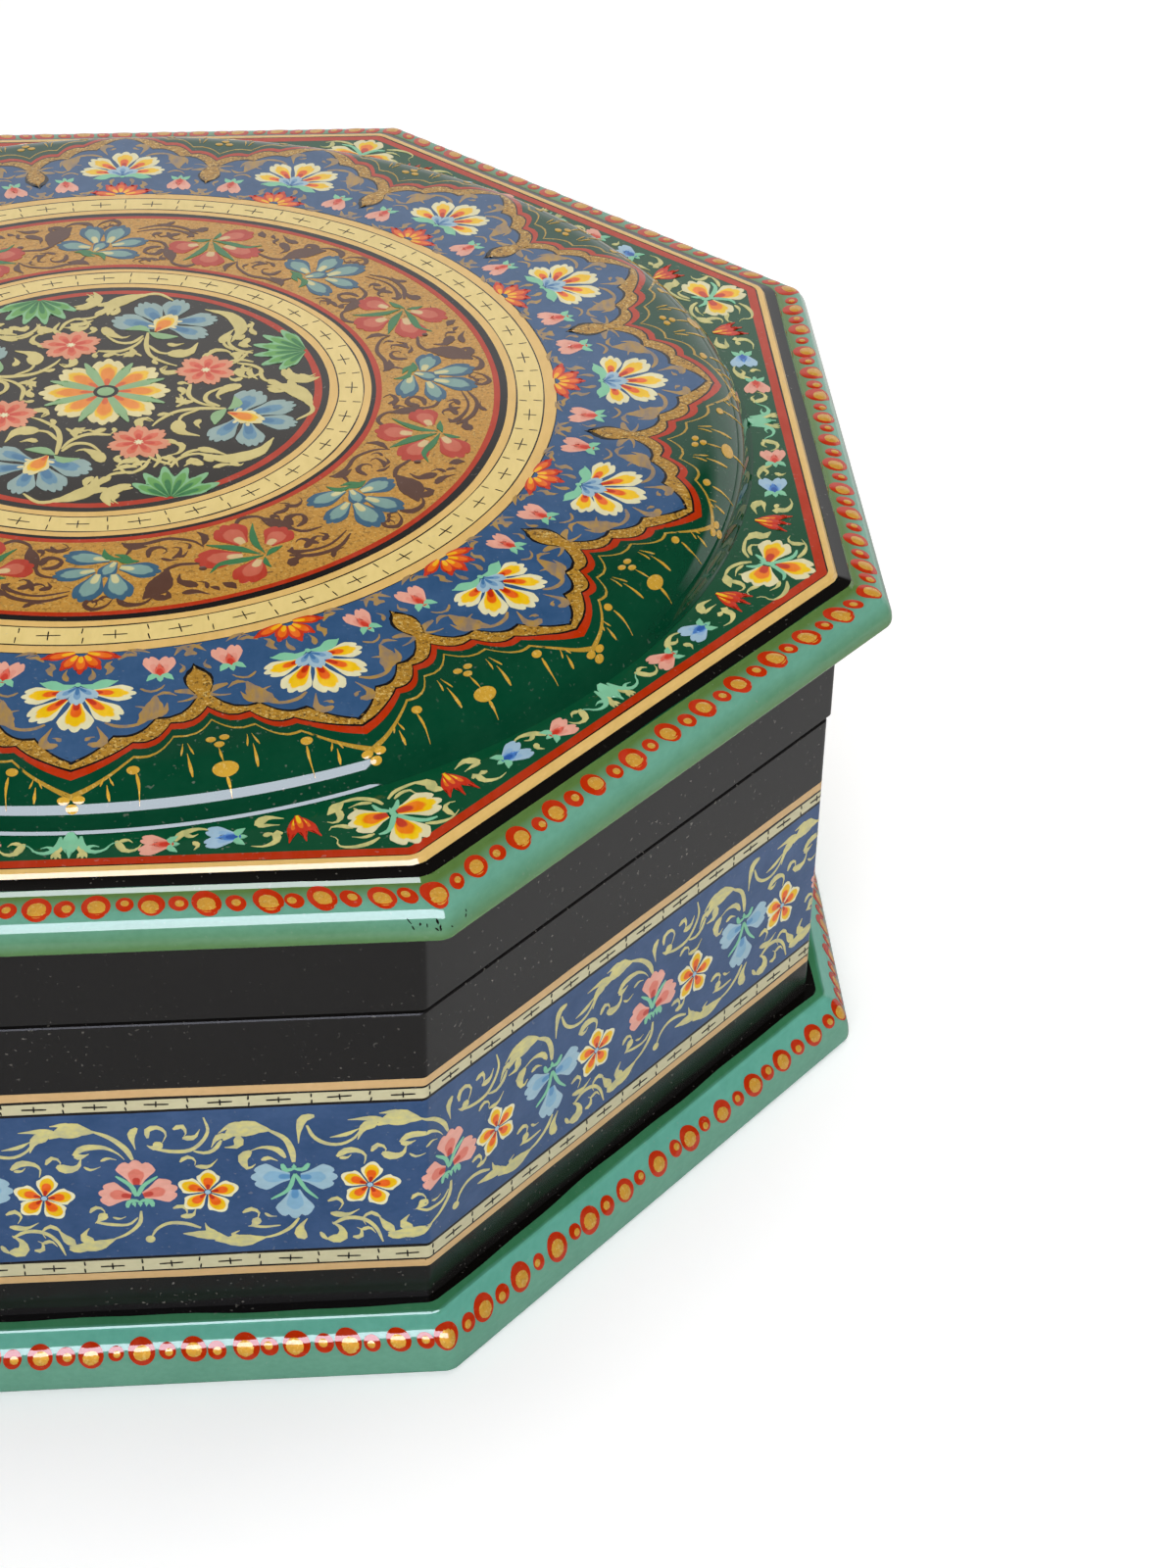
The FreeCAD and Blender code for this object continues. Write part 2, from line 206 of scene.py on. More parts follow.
def make_leaf_gold():
    """Powdered gold in varnish: bright grains, worn dark pits and a warm ground."""
    group, n, into, out = new_group(
        "powdered gold",
        {"Color": (0.5, 0.35, 0.08, 1), "Pits": 0.5, "Grain": 0.5, "Sheen": 0.0},
        ("Color", "Metal", "Roughness", "Height"))
    place = n.place()
    grain = n.noise(place, 3000.0, 2.0, 0.7)
    cloud = n.noise(place, 420.0, 5.0, 0.65)
    pits = n.times(n.ramp(n.noise(place, 2400.0, 3.0, 0.8), 0.53, 0.62), into.outputs["Pits"])
    glint = n.times(n.ramp(grain, 0.55, 0.66), into.outputs["Grain"])
    worn = n.times(n.ramp(cloud, 0.34, 0.74, 0.0, 0.30), n.times(into.outputs["Pits"], 2.0, True))
    shaded = n.mix(worn, into.outputs["Color"], (0.26, 0.14, 0.03, 1))
    pitted = n.mix(pits, shaded, (0.055, 0.030, 0.012, 1))
    n.put(out.inputs["Color"], n.mix(glint, pitted, (0.78, 0.55, 0.17, 1)))
    n.put(out.inputs["Metal"], n.plus(n.times(glint, 0.25), into.outputs["Sheen"], True))
    n.put(out.inputs["Roughness"], n.minus(0.5, n.times(glint, 0.2)))
    n.put(out.inputs["Height"], grain)
    return group


BRUSHED = make_brushed_pigment()
WASHES = make_petal_washes()
POWDERED = make_leaf_gold()


def new_material(name):
    material = bpy.data.materials.new(name)
    material.use_nodes = True
    material.node_tree.nodes.clear()
    return material, Nodes(material.node_tree)


def brushed(n, color, uneven, drag, dust, ground="101010", dry=0.0):
    """The paint group set in a material, its colour a value or a result."""
    return n.group(BRUSHED, Color=color, Unevenness=uneven, Drag=drag, Dust=dust, Ground=srgb(ground),
                   Dryness=dry)


def lacquer(name, color, uneven=0.12, ground="101010", dry=0.0, drag=0.08, dust=0.25, soft=0.03):
    """Paint of one colour under a clear varnish; laid with a dry brush, it lets its ground through."""
    material, n = new_material(name)
    finish(n, brushed(n, srgb(color), uneven, drag, dust, ground, dry), soft, 0.02)
    return material


def make_side_distance():
    """How far out a place is, square to its nearest side, and how high, in metres and with a drift."""
    group, n, into, out = new_group("side distance", {"Drift": 0.0008}, ("Out", "Height"))
    place = n.place()
    across, ahead, up = n.split(place)
    furthest = None
    for k in range(4):
        x = n.times(across, math.cos(k * EIGHTH))
        y = n.times(ahead, math.sin(k * EIGHTH))
        reach = n.math("ABSOLUTE", n.plus(x, y))
        furthest = n.math("MAXIMUM", furthest, reach) if furthest else reach
    drift = n.times(n.minus(n.noise(place, 90.0), 0.5), into.outputs["Drift"])
    n.put(out.inputs["Out"], n.plus(furthest, drift))
    n.put(out.inputs["Height"], n.plus(up, drift))
    return group


SIDE_DISTANCE = make_side_distance()
INSIDE = "1C1A19"


def moulding_lacquer(name, color, inner, inner_to, lower, lower_to, within=None):
    """Jade paint that turns to one green at the moulding's inner edge and to another at its underside, and to
    black inside the walls.
    On the base board the inner green is a painted reflection of the black wall. The paler colour above the
    underside there is partly the paint's own tone and partly a painted reflection."""
    material, n = new_material(name)
    place = n.group(SIDE_DISTANCE)
    near = n.ramp(place.outputs["Out"], *inner_to, 1.0, 0.0)
    under = n.ramp(place.outputs["Height"], *lower_to, 1.0, 0.0)
    tinted = n.mix(under, n.mix(near, srgb(color), srgb(inner)), srgb(lower))
    if within:
        tinted = n.mix(n.ramp(place.outputs["Out"], *within, 1.0, 0.0), tinted, srgb(INSIDE))
    finish(n, brushed(n, tinted, 0.10, 0.10, 0.2), 0.03, 0.02)
    return material


def lid_lacquer(name, color, under_to):
    """The lid's green paint, with black on its underside."""
    material, n = new_material(name)
    place = n.group(SIDE_DISTANCE)
    under = n.ramp(place.outputs["Height"], *under_to, 1.0, 0.0)
    finish(n, brushed(n, n.mix(under, srgb(color), srgb(INSIDE)), 0.16, 0.08, 0.25), 0.03, 0.02)
    return material


def petal_paint(name, edge, first, second, root, reaches):
    """The washes of one kind of petal under the varnish."""
    material, n = new_material(name)
    washes = n.group(WASHES, Edge=srgb(edge), First=srgb(first), Second=srgb(second), Root=srgb(root))
    for label, reach in zip(("First reach", "Second reach", "Root reach"), reaches):
        washes.inputs[label].default_value = reach
    finish(n, brushed(n, washes.outputs[0], 0.12, 0.10, 0.1), 0.03, 0.02)
    return material


def finish(n, paint, coat_rough, relief, metal=None):
    """The varnish over a paint group's results."""
    surface = n.add("ShaderNodeBsdfPrincipled")
    n.put(surface.inputs["Base Color"], paint.outputs["Color"])
    n.put(surface.inputs["Roughness"], paint.outputs["Roughness"])
    if metal:
        n.put(surface.inputs["Metallic"], metal)
    surface.inputs["Coat Weight"].default_value = 1.0
    surface.inputs["Coat Roughness"].default_value = coat_rough
    surface.inputs["Coat IOR"].default_value = VARNISH_IOR
    surface.inputs["Specular IOR Level"].default_value = 0.0
    bump = n.add("ShaderNodeBump")
    bump.inputs["Strength"].default_value = relief
    bump.inputs["Distance"].default_value = 0.0002
    n.put(bump.inputs["Height"], paint.outputs["Height"])
    n.put(surface.inputs["Normal"], bump.outputs[0])
    out = n.add("ShaderNodeOutputMaterial")
    n.put(out.inputs["Surface"], surface.outputs[0])


def gilding(name, color, pits=0.5, grain=0.5, sheen=0.0):
    """Powdered gold paint under the varnish."""
    material, n = new_material(name)
    paint = n.group(POWDERED, Color=srgb(color), Pits=pits, Grain=grain, Sheen=sheen)
    finish(n, paint, 0.04, 0.2, metal=paint.outputs["Metal"])
    return material


def arc(x, z, radius, start, end, steps):
    """Points on an arc in the section; angles in degrees, 0 outward and 90 upward."""
    found = []
    for i in range(steps + 1):
        a = math.radians(start + (end - start) * i / steps)
        found.append((x + radius * math.cos(a), z + radius * math.sin(a)))
    return found


def outline(bm, section, closed, turn):
    """The outline of a section, its points (x, z) in mm, stood in the upright plane at that turn."""
    verts = [bm.verts.new(Vector((x * math.cos(turn), x * math.sin(turn), z)) * MM) for x, z in section]
    edges = [bm.edges.new(pair) for pair in zip(verts, verts[1:])]
    if closed:
        edges.append(bm.edges.new((verts[-1], verts[0])))
    return verts + edges


def carry_round(bm, geometry, steps):
    """The outline carried once round the upright axis."""
    bmesh.ops.spin(bm, geom=geometry, cent=(0, 0, 0), axis=(0, 0, 1), dvec=(0, 0, 0), angle=TURN,
                   steps=steps, use_merge=True)
    bmesh.ops.remove_doubles(bm, verts=bm.verts, dist=MERGE)


def mitred(name, section, ease, closed=True, cuts=0):
    """A piece whose section is carried round all eight sides, mitred at the corners and eased there."""
    bm = bmesh.new()
    wide = 1 / math.cos(EIGHTH / 2)
    carry_round(bm, outline(bm, [(x * wide, z) for x, z in section], closed, EIGHTH / 2), 8)
    offset = ease * math.tan(EIGHTH / 2)
    corners = []
    for k in range(4):
        a = (k + 0.5) * EIGHTH
        across = Vector((-math.sin(a), math.cos(a), 0))
        corners.append(across)
        for side in (-1, 1):
            everything = bm.verts[:] + bm.edges[:] + bm.faces[:]
            bmesh.ops.bisect_plane(bm, geom=everything, dist=1e-8,
                                   plane_co=across * side * (offset + LEAD) * MM, plane_no=across)
    mitres = []
    for edge in bm.edges:
        if any(all(abs(v.co.dot(across)) < IN_MITRE for v in edge.verts) for across in corners):
            mitres.append(edge)
    bmesh.ops.bevel(bm, geom=mitres, offset=offset * MM, offset_type="OFFSET", affect="EDGES", segments=4,
                    profile=0.5, material=-1)
    if cuts:
        long = [e for e in bm.edges if e.calc_length() > 20 * MM]
        bmesh.ops.subdivide_edges(bm, edges=long, cuts=cuts, use_grid_fill=True)
    if not closed:
        bmesh.ops.holes_fill(bm, edges=[e for e in bm.edges if e.is_boundary], sides=0)
    bmesh.ops.recalc_face_normals(bm, faces=bm.faces)
    return to_piece(bm, name)


def to_piece(bm, name, sharp=34):
    mesh = bpy.data.meshes.new(name)
    bm.edges.index_update()
    rims = [e.index for e in bm.edges if e.is_boundary]
    bm.to_mesh(mesh)
    bm.free()
    piece = bpy.data.objects.new(name, mesh)
    bpy.context.scene.collection.objects.link(piece)
    mesh.shade_smooth()
    mesh.set_sharp_from_angle(angle=math.radians(sharp))
    for index in rims:
        mesh.edges[index].use_edge_sharp = True
    return piece


def settle(piece, material, body, slot, *nodes):
    """The piece with its paint, on the body it moves with, in place of the named pieces of the frame."""
    piece.data.materials.append(material)
    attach(piece, body)
    if nodes:
        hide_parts(*nodes)


SIDES = ["right", "back_right", "back", "back_left", "left", "front_left", "front", "front_right"]


def supported(points, lead=0.2):
    """The section with one more point close to each end of its long straight runs."""
    found = []
    for a, b in zip(points, points[1:]):
        found.append(a)
        d = math.hypot(b[0] - a[0], b[1] - a[1])
        if d > 3 * lead:
            for s in (lead / d, 1 - lead / d):
                found.append((a[0] + (b[0] - a[0]) * s, a[1] + (b[1] - a[1]) * s))
    return found + [points[-1]]


# The painted mouldings, from their inner edge outwards and down: a short steep strip, the slope, the round.
BASE_ROLL = [(72.90, 5.46), (73.10, 5.20)] + arc(70.276, 0.811, 5.35, 44, 35, 5) + arc(69.76, 0.45, 5.98,
                                                                                       35, 0, 9)[1:]
LID_ROLL = [(72.52, 57.40)] + arc(74.44, 56.194, 1.0, 84, 39.5, 7) + arc(70.736, 53.141, 5.8, 39.5, 30.5,
                                                                         4)[1:]
LID_ROLL += arc(72.89, 54.41, 3.3, 30.5, 0, 5)[1:] + arc(75.49, 54.41, 0.7, 0, -60, 4)[1:]
LID_EDGE = [(70.56, 58.4), (70.66, 58.38), (70.93, 58.02)]
BASE_SECTION = supported([(60.0, 0.0)] + arc(75.29, 0.45, 0.45, -90, 0,
                                             4)[:-1] + BASE_ROLL[::-1] + [(60.0, 5.5)])
LID_SECTION = supported(
    [(60.0, 53.7), (75.75, 53.7)] + LID_ROLL[::-1] + [(72.25, 57.75), (70.97, 58.0)]
    + LID_EDGE[::-1] + [(60.0, 58.4)])
WALL_SECTION = supported(
    [(66.45, 5.45), (70.95, 5.45), (70.95, 41.14), (70.84, 41.26), (69.90, 41.30), (69.90, 41.98),
     (66.45, 41.98), (66.45, 5.8)])
SKIRT_SECTION = supported([(66.75, 42.02), (71.3, 42.02), (71.3, 53.75), (66.75, 53.75), (66.75, 42.4)])

# The medallion's section over the lid's flat: crown and shoulder circles as (x, z, radius), a straight fall,
# and a foot that eases a little before it meets the flat in a crease.
CROWN = (0.0, -1944.65, 1950.0)
SHOULDER_R = 5.4
SHOULDER = (60.2, CROWN[1] + math.sqrt((CROWN[2] - SHOULDER_R) ** 2 - 60.2 ** 2), SHOULDER_R)
SHOULDER_FROM = SHOULDER[0] * CROWN[2] / (CROWN[2] - SHOULDER_R)
FALL = math.radians(64)
SHOULDER_TO = SHOULDER[0] + SHOULDER_R * math.sin(FALL)
FOOT_FROM = 65.56
FOOT = 65.79
FOOT_FALL = (math.tan(math.radians(59)), math.tan(math.radians(53)))


def rise(r):
    """How high the medallion stands over the lid's flat that far from its middle, and its fall there."""
    if r <= SHOULDER_FROM:
        drop = math.sqrt(CROWN[2] ** 2 - r * r)
        return CROWN[1] + drop, r / drop
    if r <= SHOULDER_TO:
        x = r - SHOULDER[0]
        drop = math.sqrt(SHOULDER_R ** 2 - x * x)
        return SHOULDER[1] + drop, x / drop
    if r <= FOOT_FROM:
        top = SHOULDER[1] + SHOULDER_R * math.cos(FALL)
        return top - (r - SHOULDER_TO) * math.tan(FALL), math.tan(FALL)
    if r < FOOT:
        t = (FOOT - r) / (FOOT - FOOT_FROM)
        fall = FOOT_FALL[1] + (FOOT_FALL[0] - FOOT_FALL[1]) * t
        return (FOOT - r) * (FOOT_FALL[1] + fall) / 2, fall
    return 0.0, 0.0


ROUND_STEPS = 256
MEDALLION_R = [0.0, 4.0, 12.0, 24.0, 36.0, 48.0, 56.0, 60.0]
MEDALLION_R += [SHOULDER[0] + SHOULDER_R * math.sin(FALL * k / 18) for k in range(1, 19)]
MEDALLION_R += [65.22, 65.40, 65.52, 65.58, 65.64, 65.71, 65.785]
MEDALLION_SECTION = [(r, LID_TOP + rise(r)[0]) for r in MEDALLION_R]
MEDALLION_SECTION += [(FOOT, LID_TOP - 0.05), (0.0, LID_TOP - 0.05)]


def round_piece(name, section):
    """A piece turned about the box's upright axis."""
    bm = bmesh.new()
    carry_round(bm, outline(bm, section, False, 0.0), ROUND_STEPS)
    bmesh.ops.recalc_face_normals(bm, faces=bm.faces)
    return to_piece(bm, name)


base_board = mitred("base_board_shell", BASE_SECTION, BOARD_EASE, False)
walls = mitred("wall_shell", WALL_SECTION, WALL_EASE)
skirts = mitred("skirt_shell", SKIRT_SECTION, WALL_EASE)
lid_board = mitred("lid_board_shell", LID_SECTION, BOARD_EASE, False)
medallion = round_piece("medallion_dome", MEDALLION_SECTION)

black_lacquer = lacquer("black wall lacquer", "1C1A19", 0.10, dust=0.4, soft=0.22)
green_ground = lacquer("green medallion lacquer", "044129", 0.16, dust=0.25)
lid_ground = lid_lacquer("green lid lacquer", "0A4B2E", (0.0544, 0.0548))
# Base moulding: the darker green strip next to the wall is a painted reflection of the black wall. The paler
# upper zone over the darker lower one is partly the jade's own tone and partly a painted reflection of a pale
# band.
base_jade_with_painted_reflection = moulding_lacquer("jade base moulding lacquer", "68B09C", "43895E", (0.0726, 0.0731), "699F87",
                             (0.0034, 0.0046), (0.0705, 0.0709))

settle(base_board, base_jade_with_painted_reflection, "base", "base_board_lacquer", "base_board")
settle(walls, black_lacquer, "base", "wall_lacquer", *["wall_" + s for s in SIDES])
settle(skirts, black_lacquer, "lid", "skirt_lacquer", *["skirt_" + s for s in SIDES])
settle(lid_board, lid_ground, "lid", "lid_board_lacquer", "lid_board")
settle(medallion, green_ground, "lid", "medallion_lacquer", "medallion")
for s in SIDES:
    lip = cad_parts["lip_" + s]
    lip.data.materials.clear()
    lip.data.materials.append(black_lacquer)


def on_lid(x, y, lift):
    """A point of the lid's top seen from above, raised from the surface, in mm."""
    r = math.hypot(x, y)
    height, fall = rise(r)
    lean = lift / math.sqrt(1 + fall * fall)
    out = lean * fall / r if r > 1e-6 else 0.0
    return Vector((x * (1 + out), y * (1 + out), LID_TOP + height + lean))


def turned(lay, x0, y0, turn=0.0, size=1.0):
    """The same surface with the drawing moved, turned and scaled on it first."""
    c = math.cos(turn) * size
    s = math.sin(turn) * size
    return lambda x, y, lift: lay(x0 + x * c - y * s, y0 + x * s + y * c, lift)


def round_sheet(reach):
    """A surface drawn as (arc length at radius reach, radius)."""
    def lay(x, y, lift):
        a = x / reach
        return on_lid(y * math.cos(a), y * math.sin(a), lift)
    return lay


def round_corner(face, s, half, ease):
    """A point s along one side of the octagon and on round its eased corners, and the way out there."""
    reach = half * math.tan(EIGHTH / 2)
    while s > reach:
        s -= 2 * reach
        face += 1
    while s < -reach:
        s += 2 * reach
        face -= 1
    out = Vector((math.cos(face * EIGHTH), math.sin(face * EIGHTH)))
    along = Vector((-out.y, out.x))
    offset = ease * math.tan(EIGHTH / 2)
    past = abs(s) - (reach - offset)
    if past <= 0:
        return out * half + along * s, out
    side = 1 if s > 0 else -1
    a = face * EIGHTH + side * (EIGHTH / 2) * past / offset
    out_there = Vector((math.cos(a), math.sin(a)))
    centre = out * (half - ease) + along * side * (reach - offset)
    return centre + out_there * ease, out_there


def on_wall(x, y, lift):
    """x runs round the box from the middle of the front side, y is the height."""
    p, out = round_corner(6, x, WALL_OUT, WALL_EASE)
    p = p + out * lift
    return Vector((p.x, p.y, y))


def on_moulding(face, run, start):
    """A moulding: x along the side, y down its section from start, in mm along run, the section's points."""
    far = [0.0]
    for a, b in zip(run, run[1:]):
        far.append(far[-1] + math.hypot(b[0] - a[0], b[1] - a[1]))
    ways = []
    for i in range(len(run)):
        a, b = run[max(i - 1, 0)], run[min(i + 1, len(run) - 1)]
        ways.append(Vector((a[1] - b[1], b[0] - a[0])).normalized())

    def lay(x, y, lift):
        want = min(max(start + y, 0.0), far[-1])
        i = max(k for k in range(len(run) - 1) if far[k] <= want)
        f = (want - far[i]) / (far[i + 1] - far[i])
        half, z = (run[i][k] + (run[i + 1][k] - run[i][k]) * f for k in (0, 1))
        way = ways[i].lerp(ways[i + 1], f).normalized()
        p, out = round_corner(face, x * half / DOTS_OUT, half, BOARD_EASE)
        p = p + out * way.x * lift
        return Vector((p.x, p.y, z + way.y * lift))
    return lay


def blend_list(values, t):
    """A smooth value at share t of a short list."""
    u = min(max(t, 0.0), 1.0) * (len(values) - 1)
    i = min(int(u), len(values) - 2)
    f = u - i
    f = f * f * (3 - 2 * f)
    return values[i] * (1 - f) + values[i + 1] * f


def curve_through(points, count):
    """Even steps along a smooth curve through the points."""
    pts = [Vector(p) for p in points]
    pts = [pts[0] * 2 - pts[1]] + pts + [pts[-1] * 2 - pts[-2]]
    fine = []
    for i in range(1, len(pts) - 2):
        a, b, c, d = pts[i - 1:i + 3]
        for k in range(12):
            t = k / 12
            fine.append(0.5 * ((2 * b) + (c - a) * t + (2 * a - 5 * b + 4 * c - d) * t * t
                               + (3 * b - 3 * c + d - a) * t ** 3))
    fine.append(pts[-2])
    far = [0.0]
    for a, b in zip(fine, fine[1:]):
        far.append(far[-1] + (b - a).length)
    found = []
    j = 0
    for k in range(count + 1):
        want = far[-1] * k / count
        while j < len(far) - 2 and far[j + 1] < want:
            j += 1
        f = (want - far[j]) / max(far[j + 1] - far[j], 1e-9)
        found.append(fine[j].lerp(fine[j + 1], f))
    return found, far[-1]


# How wide a pull of the brush is along its way, as shares of its width. Below: a petal's, from base to tip.
PULLS = {
    "comma": (0.35, 0.95, 1.0, 0.72, 0.42, 0.22, 0.07),
    "leaf": (0.08, 0.5, 0.9, 1.0, 0.8, 0.42, 0.08),
    "stem": (0.5, 0.9, 1.0, 0.9, 0.8, 0.65, 0.3),
    "head": (0.12, 0.3, 0.5, 0.8, 1.0, 0.9, 0.35),
    "line": (0.8, 1.0, 0.95, 1.0, 0.9, 1.0, 0.7),
}
FAN = (0.26, 0.42, 0.60, 0.80, 0.96, 1.0)
HEART = (0.10, 0.40, 0.74, 0.96, 1.0, 0.74)
ROUND = (0.16, 0.40, 0.66, 0.88, 1.0, 1.0, 0.74)
WEDGE = (0.30, 0.52, 0.74, 0.92, 1.0, 0.98)
OVAL = (0.30, 0.66, 0.90, 1.0, 0.88, 0.46)
BELL = (0.35, 0.75, 0.97, 1.0, 0.80, 0.35)
STRAP = (0.60, 0.80, 0.90, 1.0, 1.0, 0.70)

# Heights of paint over its ground, in mm: a patch at level 0, each level more and its drift, each level of
# the rings, and the lobed rings' first level. No stroke is finer than the finest line.
FILM_LIFT = 0.042
FILM_LEVEL = 0.005
FILM_DRIFT = 0.003
RING_LEVEL = 0.006
LOBE_LIFT = 0.010
FINEST_LINE = 0.05


class Film:
    """Everything painted with one pigment on one part of the box."""

    def __init__(self, name, material, body, slot):
        self.name = name
        self.material = material
        self.body = body
        self.slot = slot
        self.bm = bmesh.new()
        self.bm.loops.layers.uv.new("petal")

    def grid(self, across, along, place, lay, middle):
        """A patch of film, face up, its points at place(u, v): u from -1 to 1 across, v from 0 to 1 along."""
        up = lay(middle[0], middle[1], 1.0) - lay(middle[0], middle[1], 0.0)
        over = place(0.5, 0.5) - place(-0.5, 0.5)
        ahead = place(0.0, (along // 2 + 1) / along) - place(0.0, (along // 2) / along)
        side = 1 if over.cross(ahead).dot(up) > 0 else -1
        made = bmesh.ops.create_grid(self.bm, x_segments=across, y_segments=along, size=1,
                                     calc_uvs=True)["verts"]
        for k, vert in enumerate(made):
            i = k % (across + 1)
            j = k // (across + 1)
            vert.co = place(side * (2 * i / across - 1), j / along) * MM

    def stroke(self, lay, points, width, pull="comma", level=1, crown=0.001):
        """One pull of the brush along the points."""
        start = points[0]
        unit = (lay(start[0] + 1e-3, start[1], 0.0) - lay(start[0], start[1], 0.0)).length * 1e3
        total = sum((Vector(b) - Vector(a)).length for a, b in zip(points, points[1:])) * unit
        steps = max(3 if total < 1.2 else 5, min(20, int(total / 0.45)))
        path, _ = curve_through(points, steps)
        lift = FILM_LIFT + FILM_LEVEL * level + hand.uniform(0, FILM_DRIFT)
        grow = hand.uniform(0.92, 1.08)

        def place(u, v):
            i = round(v * steps)
            ahead = path[min(i + 1, steps)] - path[max(i - 1, 0)]
            ahead = ahead.normalized() if ahead.length > 1e-9 else Vector((1, 0))
            half = max(blend_list(PULLS[pull], v) * width * grow, FINEST_LINE / unit) / 2
            p = path[i] + Vector((-ahead.y, ahead.x)) * half * u
            return lay(p.x, p.y, lift + crown * (1 - u * u) * min(1.0, half * unit * 4))
        self.grid(2, steps, place, lay, path[steps // 2])

    def strokes(self, lay, rows, level, wider=1.0):
        """Many strokes: each row is a pull, a width and the x and y of its points in turn."""
        for pull, width, *places in rows:
            self.stroke(lay, list(zip(places[::2], places[1::2])), width * wider, pull, level)

    def petal(self, lay, base, tip, width, lobes=1, notch=0.0, form=HEART, level=1, round_end=0.3):
        """One petal from base to tip, its end plain or in lobes."""
        base = Vector(base)
        axis = Vector(tip) - base
        over = Vector((axis.y, -axis.x)).normalized()
        across = 6 if lobes == 1 else 4 * lobes
        along = 8 if lobes == 1 else 5
        lift = FILM_LIFT + FILM_LEVEL * level + hand.uniform(0, FILM_DRIFT)
        wide = width * hand.uniform(0.95, 1.05) / 2
        long = hand.uniform(0.96, 1.04)
        tilt = hand.uniform(-0.05, 0.05)

        def place(u, v):
            v = 0.5 * v + 0.5 * math.sin(v * math.pi / 2)
            crest = abs(math.sin(math.pi * lobes * (u + 1) / 2)) ** 0.7 if lobes > 1 else 0.0
            run = v * (1 - round_end * u * u * v) * long + notch * crest * v ** 3
            half = blend_list(form, v) * wide
            p = base + axis * run + over * (half * u + tilt * v * wide)
            return lay(p.x, p.y, lift + 0.005 * (1 - u * u) * math.sin(math.pi * min(v + 0.1, 1.0)))
        self.grid(across, along, place, lay, base + axis * 0.5)

    def petals(self, lay, rows, wider, lobes, notch, form, level=1):
        """Many petals: each row is a base, a tip and a width."""
        for base, tip, width in rows:
            self.petal(lay, base, tip, width * wider, lobes, notch, form, level)

    def dot(self, lay, at, radius, level=1, crown=0.02, tall=1.0):
        """A drop of paint left to stand up in its middle."""
        lift = FILM_LIFT + FILM_LEVEL * level
        shift = hand.uniform(-0.06, 0.06) * radius
        lean = hand.uniform(-0.05, 0.05)

        def place(u, v):
            w = 2 * v - 1
            x = u * math.sqrt(1 - w * w / 2)
            y = w * math.sqrt(1 - u * u / 2)
            high = crown * max(0.0, 1 - x * x - y * y)
            return lay(at[0] + shift + (x + lean * y) * radius, at[1] + y * radius * tall, lift + high)
        self.grid(6, 6, place, lay, at)

    def done(self, depth=0.10):
        """The finished film: its seams closed and given its thickness down into the ground."""
        if not self.bm.verts:
            return
        bmesh.ops.remove_doubles(self.bm, verts=self.bm.verts, dist=MERGE)
        for face in self.bm.faces:
            face.normal_update()
        piece = to_piece(self.bm, self.name, 50)
        thick = piece.modifiers.new("film", "SOLIDIFY")
        thick.thickness = depth * MM
        thick.offset = -1
        settle(piece, self.material, self.body, self.slot)


# Pigments: colour, unevenness, and for those laid with a dry brush the ground below and how much of it shows.
PIGMENTS = {
    "cream": ("EFE8BE", 0.06), "vermilion": ("BC300E", 0.12), "mint": ("84C6A0", 0.10),
    "sage": ("8DB27F", 0.10),
    "pale_blue": ("A4C3D6", 0.12), "field_blue": ("34567E", 0.28), "wall_blue": ("37527A", 0.30),
    "ochre": ("B08C4C", 0.20, "38597E", 0.48), "straw": ("D0C07C", 0.16),
    "green_straw": ("D8CE88", 0.12, "2E6A44", 0.35),
    "wall_straw": ("DAD089", 0.12, "4A6790", 0.30), "umber": ("5B3C2F", 0.18), "ring_green": ("3C784A", 0.14),
    "ink": ("161210", 0.08), "peach": ("E2BA70", 0.08), "band_cream": ("E8CF87", 0.08),
    "wall_cream": ("CDC5A0", 0.08),
    "wall_peach": ("D4AE7A", 0.08), "step_black": ("0B0907", 0.10), "disc_black": ("251F18", 0.16),
    "scarlet": ("B4310C", 0.12),
}
# Gold: colour, pits, grain and sheen.
GILDINGS = {
    "gold_band": ("B4842A", 0.90, 0.9), "gold_ring": ("C8923D", 0.50, 0.4),
    "gold_line": ("B08A30", 0.06, 0.5),
    "gold_drop": ("CFA036", 0.10, 0.6, 0.12), "dot_gold": ("D9A03C", 0.16, 0.6, 0.2),
}
